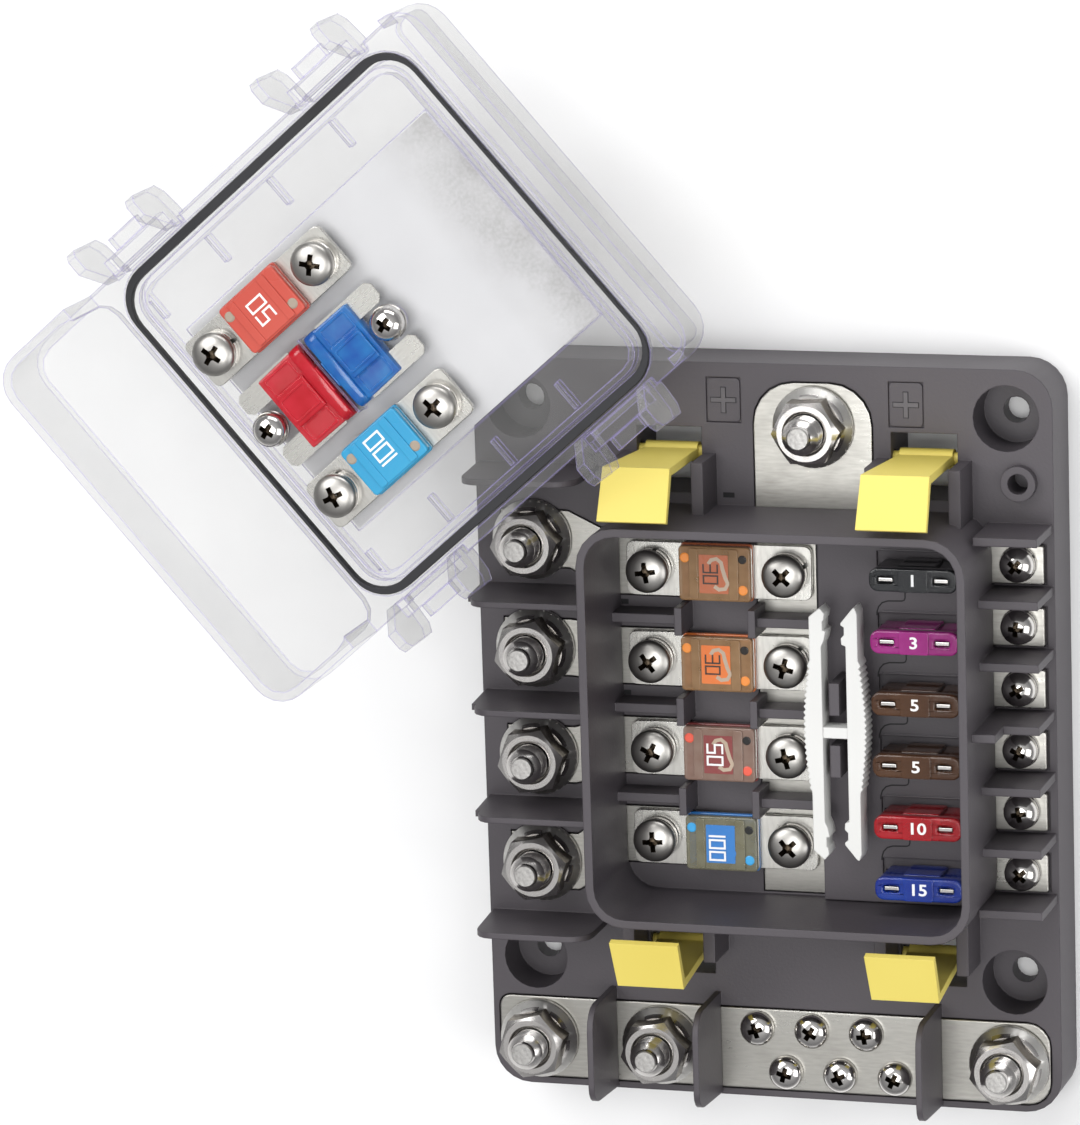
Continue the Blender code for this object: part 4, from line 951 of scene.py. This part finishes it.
def make_deck_lines():
    """The parting groove that wanders down the deck beside the blade fuses, drawn as a strip of
    painted shade, and a painted highlight along each fuse pocket's edge.
    """
    top = DECK_TOP
    for index in range(1, 6):
        low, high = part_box(f"blade_fuse_{index}")
        x = (low.x + high.x) / 2
        y = (low.y + high.y) / 2
        path = [(-4.6, -3.7), (-4.6, -6.4), (-4.8, -6.9), (-5.3, -7.1), (-8.4, -7.2), (-9.6, -7.6),
                (-10.4, -8.5), (-10.75, -9.6), (-10.8, -10.4)]
        # Painted shade: the groove is a thin dark strip raised a little over the deck.
        line = ribbon(f"deck_groove_{index}", [(x + u * MM, y + v * MM) for u, v in path],
                      0.32 * MM, top - 0.3 * MM, top + 0.03 * MM, painted_gap_shade)
        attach(line, "base")
        # Painted highlight: a thin lighter ledge along the pocket's edge.
        shelf = block(f"deck_shelf_{index}", (x - 9.6 * MM, y + 3.75 * MM, top - 0.1 * MM),
                      (x + 9.6 * MM, y + 4.1 * MM, top + 0.2 * MM), charcoal_highlight)
        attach(soften(shelf, 0.08 * MM), "base")


def make_negative():
    """The negative busbar without its screws, and the six screws on it."""
    low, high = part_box("negative_busbar")
    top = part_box("positive_busbar")[1].z
    loop = []
    for x, y, radius, start in ((low.x, low.y, 8.5, 180), (high.x, low.y, 5, 270),
                                (high.x, high.y, 5, 0), (low.x, high.y, 2.5, 90)):
        radius *= MM
        x += radius if x == low.x else -radius
        y += radius if y == low.y else -radius
        for step in range(7):
            angle = math.radians(start + 15 * step)
            loop.append((x + radius * math.cos(angle), y + radius * math.sin(angle)))
    bar = outline("negative_busbar_finish", [loop], top - 1.8 * MM, top, tin)
    soften(bar, 0.25 * MM)
    stand_for(bar, "negative_busbar")
    rows = ((-3.5 * MM, -65.5 * MM), (2.7 * MM, -75.1 * MM))
    for row, (x, y) in enumerate(rows):
        for step in range(3):
            linked(f"negative_screw_{row}_{step}", low_ball, (x + 12.1 * MM * step, y, top),
                   (0, 0, 0.7 * step + row), "negative_busbar", replace=False)


def make_branches():
    for index in range(1, 7):
        node = f"branch_terminal_{index}"
        low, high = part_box(node)
        top = low.z + 5.0 * MM
        screw_y = low.y + 4.5 * MM
        strip = outline(node + "_finish", [rounded((low.x, low.y), (high.x, high.y), 0.5 * MM, 3)],
                        top - 1.8 * MM, top, tin)
        soften(strip, 0.2 * MM)
        stand_for(strip, node)
        spot = (56.2 * MM, screw_y, top)
        linked(node + "_head", ball_head, spot, (0, 0, 0.6 * index), node, replace=False)
        linked(node + "_washer", small_washer, spot, (0, 0, 0.6 * index), node, replace=False)


def make_latches():
    for name in ("top_left", "top_right", "bottom_left", "bottom_right"):
        refined("latch_" + name, yellow)


def make_puller():
    low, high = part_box("fuse_puller")
    left_x = low.x + 1.4 * MM
    right_x = high.x - 1.6 * MM
    bottom, top = low.y, high.y

    def arm(x0, way, foot, head, tips):
        """An arm's outline: ribbed outside, with both its ends barbed towards the middle."""
        ends = {"pointed": ((2.4, 0), (3.4, 1.2), (3.2, 2.7), (2.9, 2.8), (2.9, 4.9), (3.6, 5.0),
                            (3.2, 7.0), (2.6, 8.3)),
                "slanted": ((0.5, 0), (1.0, 0.2), (3.6, 3.4), (3.6, 3.9), (2.9, 4.3), (2.9, 6.0),
                            (3.6, 6.7), (3.5, 8.1), (2.6, 8.4))}
        shoulders = {"pointed": 2.0, "slanted": 1.4}
        points = [(x0, foot + shoulders[tips] * MM), (x0, foot + 14 * MM)]
        start, end = foot + 15 * MM, head - 12 * MM
        for i in range(TEETH):
            y = start + (end - start) * i / TEETH
            swell = 1.2 * MM * math.sin(math.pi * (i + 0.5) / TEETH)
            points.append((x0 - way * swell, y))
            points.append((x0 - way * (swell + 0.5 * MM), y + (end - start) / TEETH * 0.5))
        points += [(x0, end + 0.6 * MM), (x0, head - shoulders[tips] * MM)]
        points += [(x0 + way * u * MM, head - v * MM) for u, v in ends[tips]]
        return points + [(x0 + way * u * MM, foot + v * MM) for u, v in reversed(ends[tips])]

    main = outline("fuse_puller_left", [arm(left_x, 1, bottom, top - 0.3 * MM, "pointed")], low.z,
                   high.z, white)
    other = outline("fuse_puller_right", [arm(right_x, -1, bottom + 0.1 * MM, top, "slanted")],
                    low.z, high.z, white)
    web = block("fuse_puller_web", (left_x + 2.4 * MM, 3.8 * MM, low.z + 0.6 * MM),
                (right_x - 2.4 * MM, 6.2 * MM, high.z - 0.4 * MM), white)
    for piece in (main, other, web):
        soften(piece, 0.18 * MM)
    other.parent = main
    web.parent = main
    stand_for(main, "fuse_puller")


# Cover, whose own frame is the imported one's: its gasket's face, turned over

COVER = (Matrix.Translation((-69.0 * MM, 95.0 * MM, 57 * MM))
         @ Matrix.Rotation(math.radians(41.04), 4, "Z") @ Matrix.Rotation(math.pi, 4, "X"))


# Where the CAD's skirt has slots for the barriers, which the photographed edge doesn't show. They
# are filled in the visible cover.
SKIRT_SLOTS = (24.25, 0.4, -23.25)


def make_cover():
    """The cover with its seal, its label and the four spare fuses."""
    fillers = []
    for y in SKIRT_SLOTS:
        filler = block("skirt_filler", (-68.98 * MM, (y - 1.4) * MM, -14.98 * MM),
                       (-67.02 * MM, (y + 1.4) * MM, -7.6 * MM), clear)
        filler.matrix_world = COVER
        fillers.append(filler)
    refined("cover", clear, fillers)
    low, high = 0.05 * MM, 2.2 * MM
    out_x, out_y = 42.3 * MM, 43.85 * MM
    loops = [rounded((-out_x, -out_y), (out_x, out_y), 8.6 * MM, 8),
             rounded((-out_x + 0.7 * MM, -out_y + 1.9 * MM), (out_x - 0.7 * MM, out_y - 1.9 * MM),
                     7.4 * MM, 8)]
    seal = outline("cover_gasket_finish", loops, low, high, gasket_black)
    soften(seal, 0.15 * MM)
    seal.matrix_world = COVER
    stand_for(seal, "cover_gasket")
    film = block("cover_label_finish", (-35.9 * MM, -27.6 * MM, 5.52 * MM),
                 (35.9 * MM, 27.6 * MM, 5.78 * MM), silver, 0.5 * MM)
    film.matrix_world = COVER
    stand_for(film, "cover_label")
    for index, (way, colour, figures) in enumerate(((-1, coral, "50"), (1, sky, "100")), 1):
        node = f"spare_bolt_fuse_{index}"
        centre = COVER @ Vector((-17.2 * MM, way * 19.6 * MM, 2.3 * MM))
        turn = (COVER.to_3x3() @ Matrix.Rotation(math.pi, 3, "X")).to_euler()
        fuse = bolt_fuse(node + "_finish", node, colour, colour, colour, pale_rivet, centre, turn,
                         solid=True)
        stroke_figures(node + "_figures", figures, 4.0 * MM, 0.45 * MM, digit_white, fuse,
                       (0, 0, 5.1 * MM), (0, 0, math.pi / 2), 0.1 * MM)
        for side in (-1, 1):
            for kind, mesh in (("screw", big_head), ("washer", washer_mesh)):
                piece = add_object(f"{node}_{kind}_{side}", mesh)
                piece.parent = fuse
                at(piece, (side * 15 * MM, 0, 1.5 * MM), (0, 0, side + index))
    for index, (side, colour) in enumerate(((1, spare_blue), (-1, spare_red)), 1):
        node = f"spare_blade_fuse_{index}"
        edge = (-16.3 + side * (0.55 + 12.6)) * MM
        axes = Matrix(((0, 0, -side), (side, 0, 0), (0, -1, 0)))
        turn = (COVER.to_3x3() @ axes).to_euler()
        fuse = blade_fuse(node + "_finish", node, colour, "", COVER @ Vector((edge, 0, 1.1 * MM)),
                          turn, framed=True)
        for kind, mesh in (("screw", ball_head), ("washer", small_washer)):
            piece = add_object(f"{node}_{kind}", mesh)
            piece.parent = fuse
            at(piece, (0, 0.35 * MM, -4.6 * MM), (-math.pi / 2, 0, 0))


def make_stage():
    floor_material, tree, shader = new_material("floor", 0.9)
    drift = noise_of(tree, 3, 1.0)
    pale = ramp_of(tree, drift.outputs["Fac"], ((0.3, (0.87,) * 3), (0.7, (0.9,) * 3)))
    tree.links.new(pale, shader.inputs["Base Color"])

    def fill(work):
        bmesh.ops.create_grid(work, x_segments=4, y_segments=4, size=6)

    floor = place("floor", to_mesh("floor", fill), floor_material)
    floor.location.z = cad_low.z - 0.05 * MM


LIGHT_TARGET = Vector((-0.03, 0.03, 0.02))


def make_light(name, location, size, power):
    light = bpy.data.lights.new(name, "AREA")
    light.shape = "RECTANGLE"
    light.size, light.size_y = size
    light.energy = power
    way = LIGHT_TARGET - Vector(location)
    at(add_object(name, light), location, way.to_track_quat("-Z", "Y").to_euler())


def make_studio():
    world = bpy.data.worlds.new("studio")
    bpy.context.scene.world = world
    world.use_nodes = True
    tree = world.node_tree
    background = tree.nodes["Background"]
    spot = tree.nodes.new("ShaderNodeTexCoord")
    split = tree.nodes.new("ShaderNodeSeparateXYZ")
    tree.links.new(spot.outputs["Generated"], split.inputs[0])
    colours = ((0.0, (0.75, 0.75, 0.76)), (0.35, (0.3, 0.3, 0.31)), (0.7, (0.5, 0.5, 0.51)),
               (1.0, (0.85, 0.85, 0.86)))
    tree.links.new(ramp_of(tree, split.outputs["Z"], colours), background.inputs["Color"])
    background.inputs["Strength"].default_value = 0.7
    make_light("key", (-0.55, 0.5, 0.9), (0.7, 0.5), 5)
    make_light("overhead", (0.08, -0.05, 1.4), (0.7, 0.7), 8)
    make_light("fill", (0.8, -0.2, 0.8), (0.6, 0.6), 3)
    make_light("rim", (0.1, 1.0, 0.5), (0.9, 0.3), 3.5)
    bpy.context.scene.view_settings.view_transform = "Standard"


def make_camera():
    """The photograph's camera, whose axes were fitted to the base's corners."""
    camera = bpy.data.cameras.new("camera")
    camera.lens = 206.4
    camera.sensor_width = 36
    holder = add_object("camera", camera)
    right = Vector((0.9560, -0.0313, -0.2916))
    back = Vector((0.2913, 0.2171, 0.9317)).normalized()
    up = back.cross(right).normalized()
    right = up.cross(back)
    turn = Matrix((right, up, back)).transposed()
    holder.matrix_world = Matrix.Translation((0.35483, 0.33755, 1.30882)) @ turn.to_4x4()
    bpy.context.scene.camera = holder


make_terminals()
make_fuse_screws()
make_fuses()
make_base()
make_negative()
make_branches()
make_latches()
make_puller()
make_cover()
make_stage()
make_studio()
make_camera()
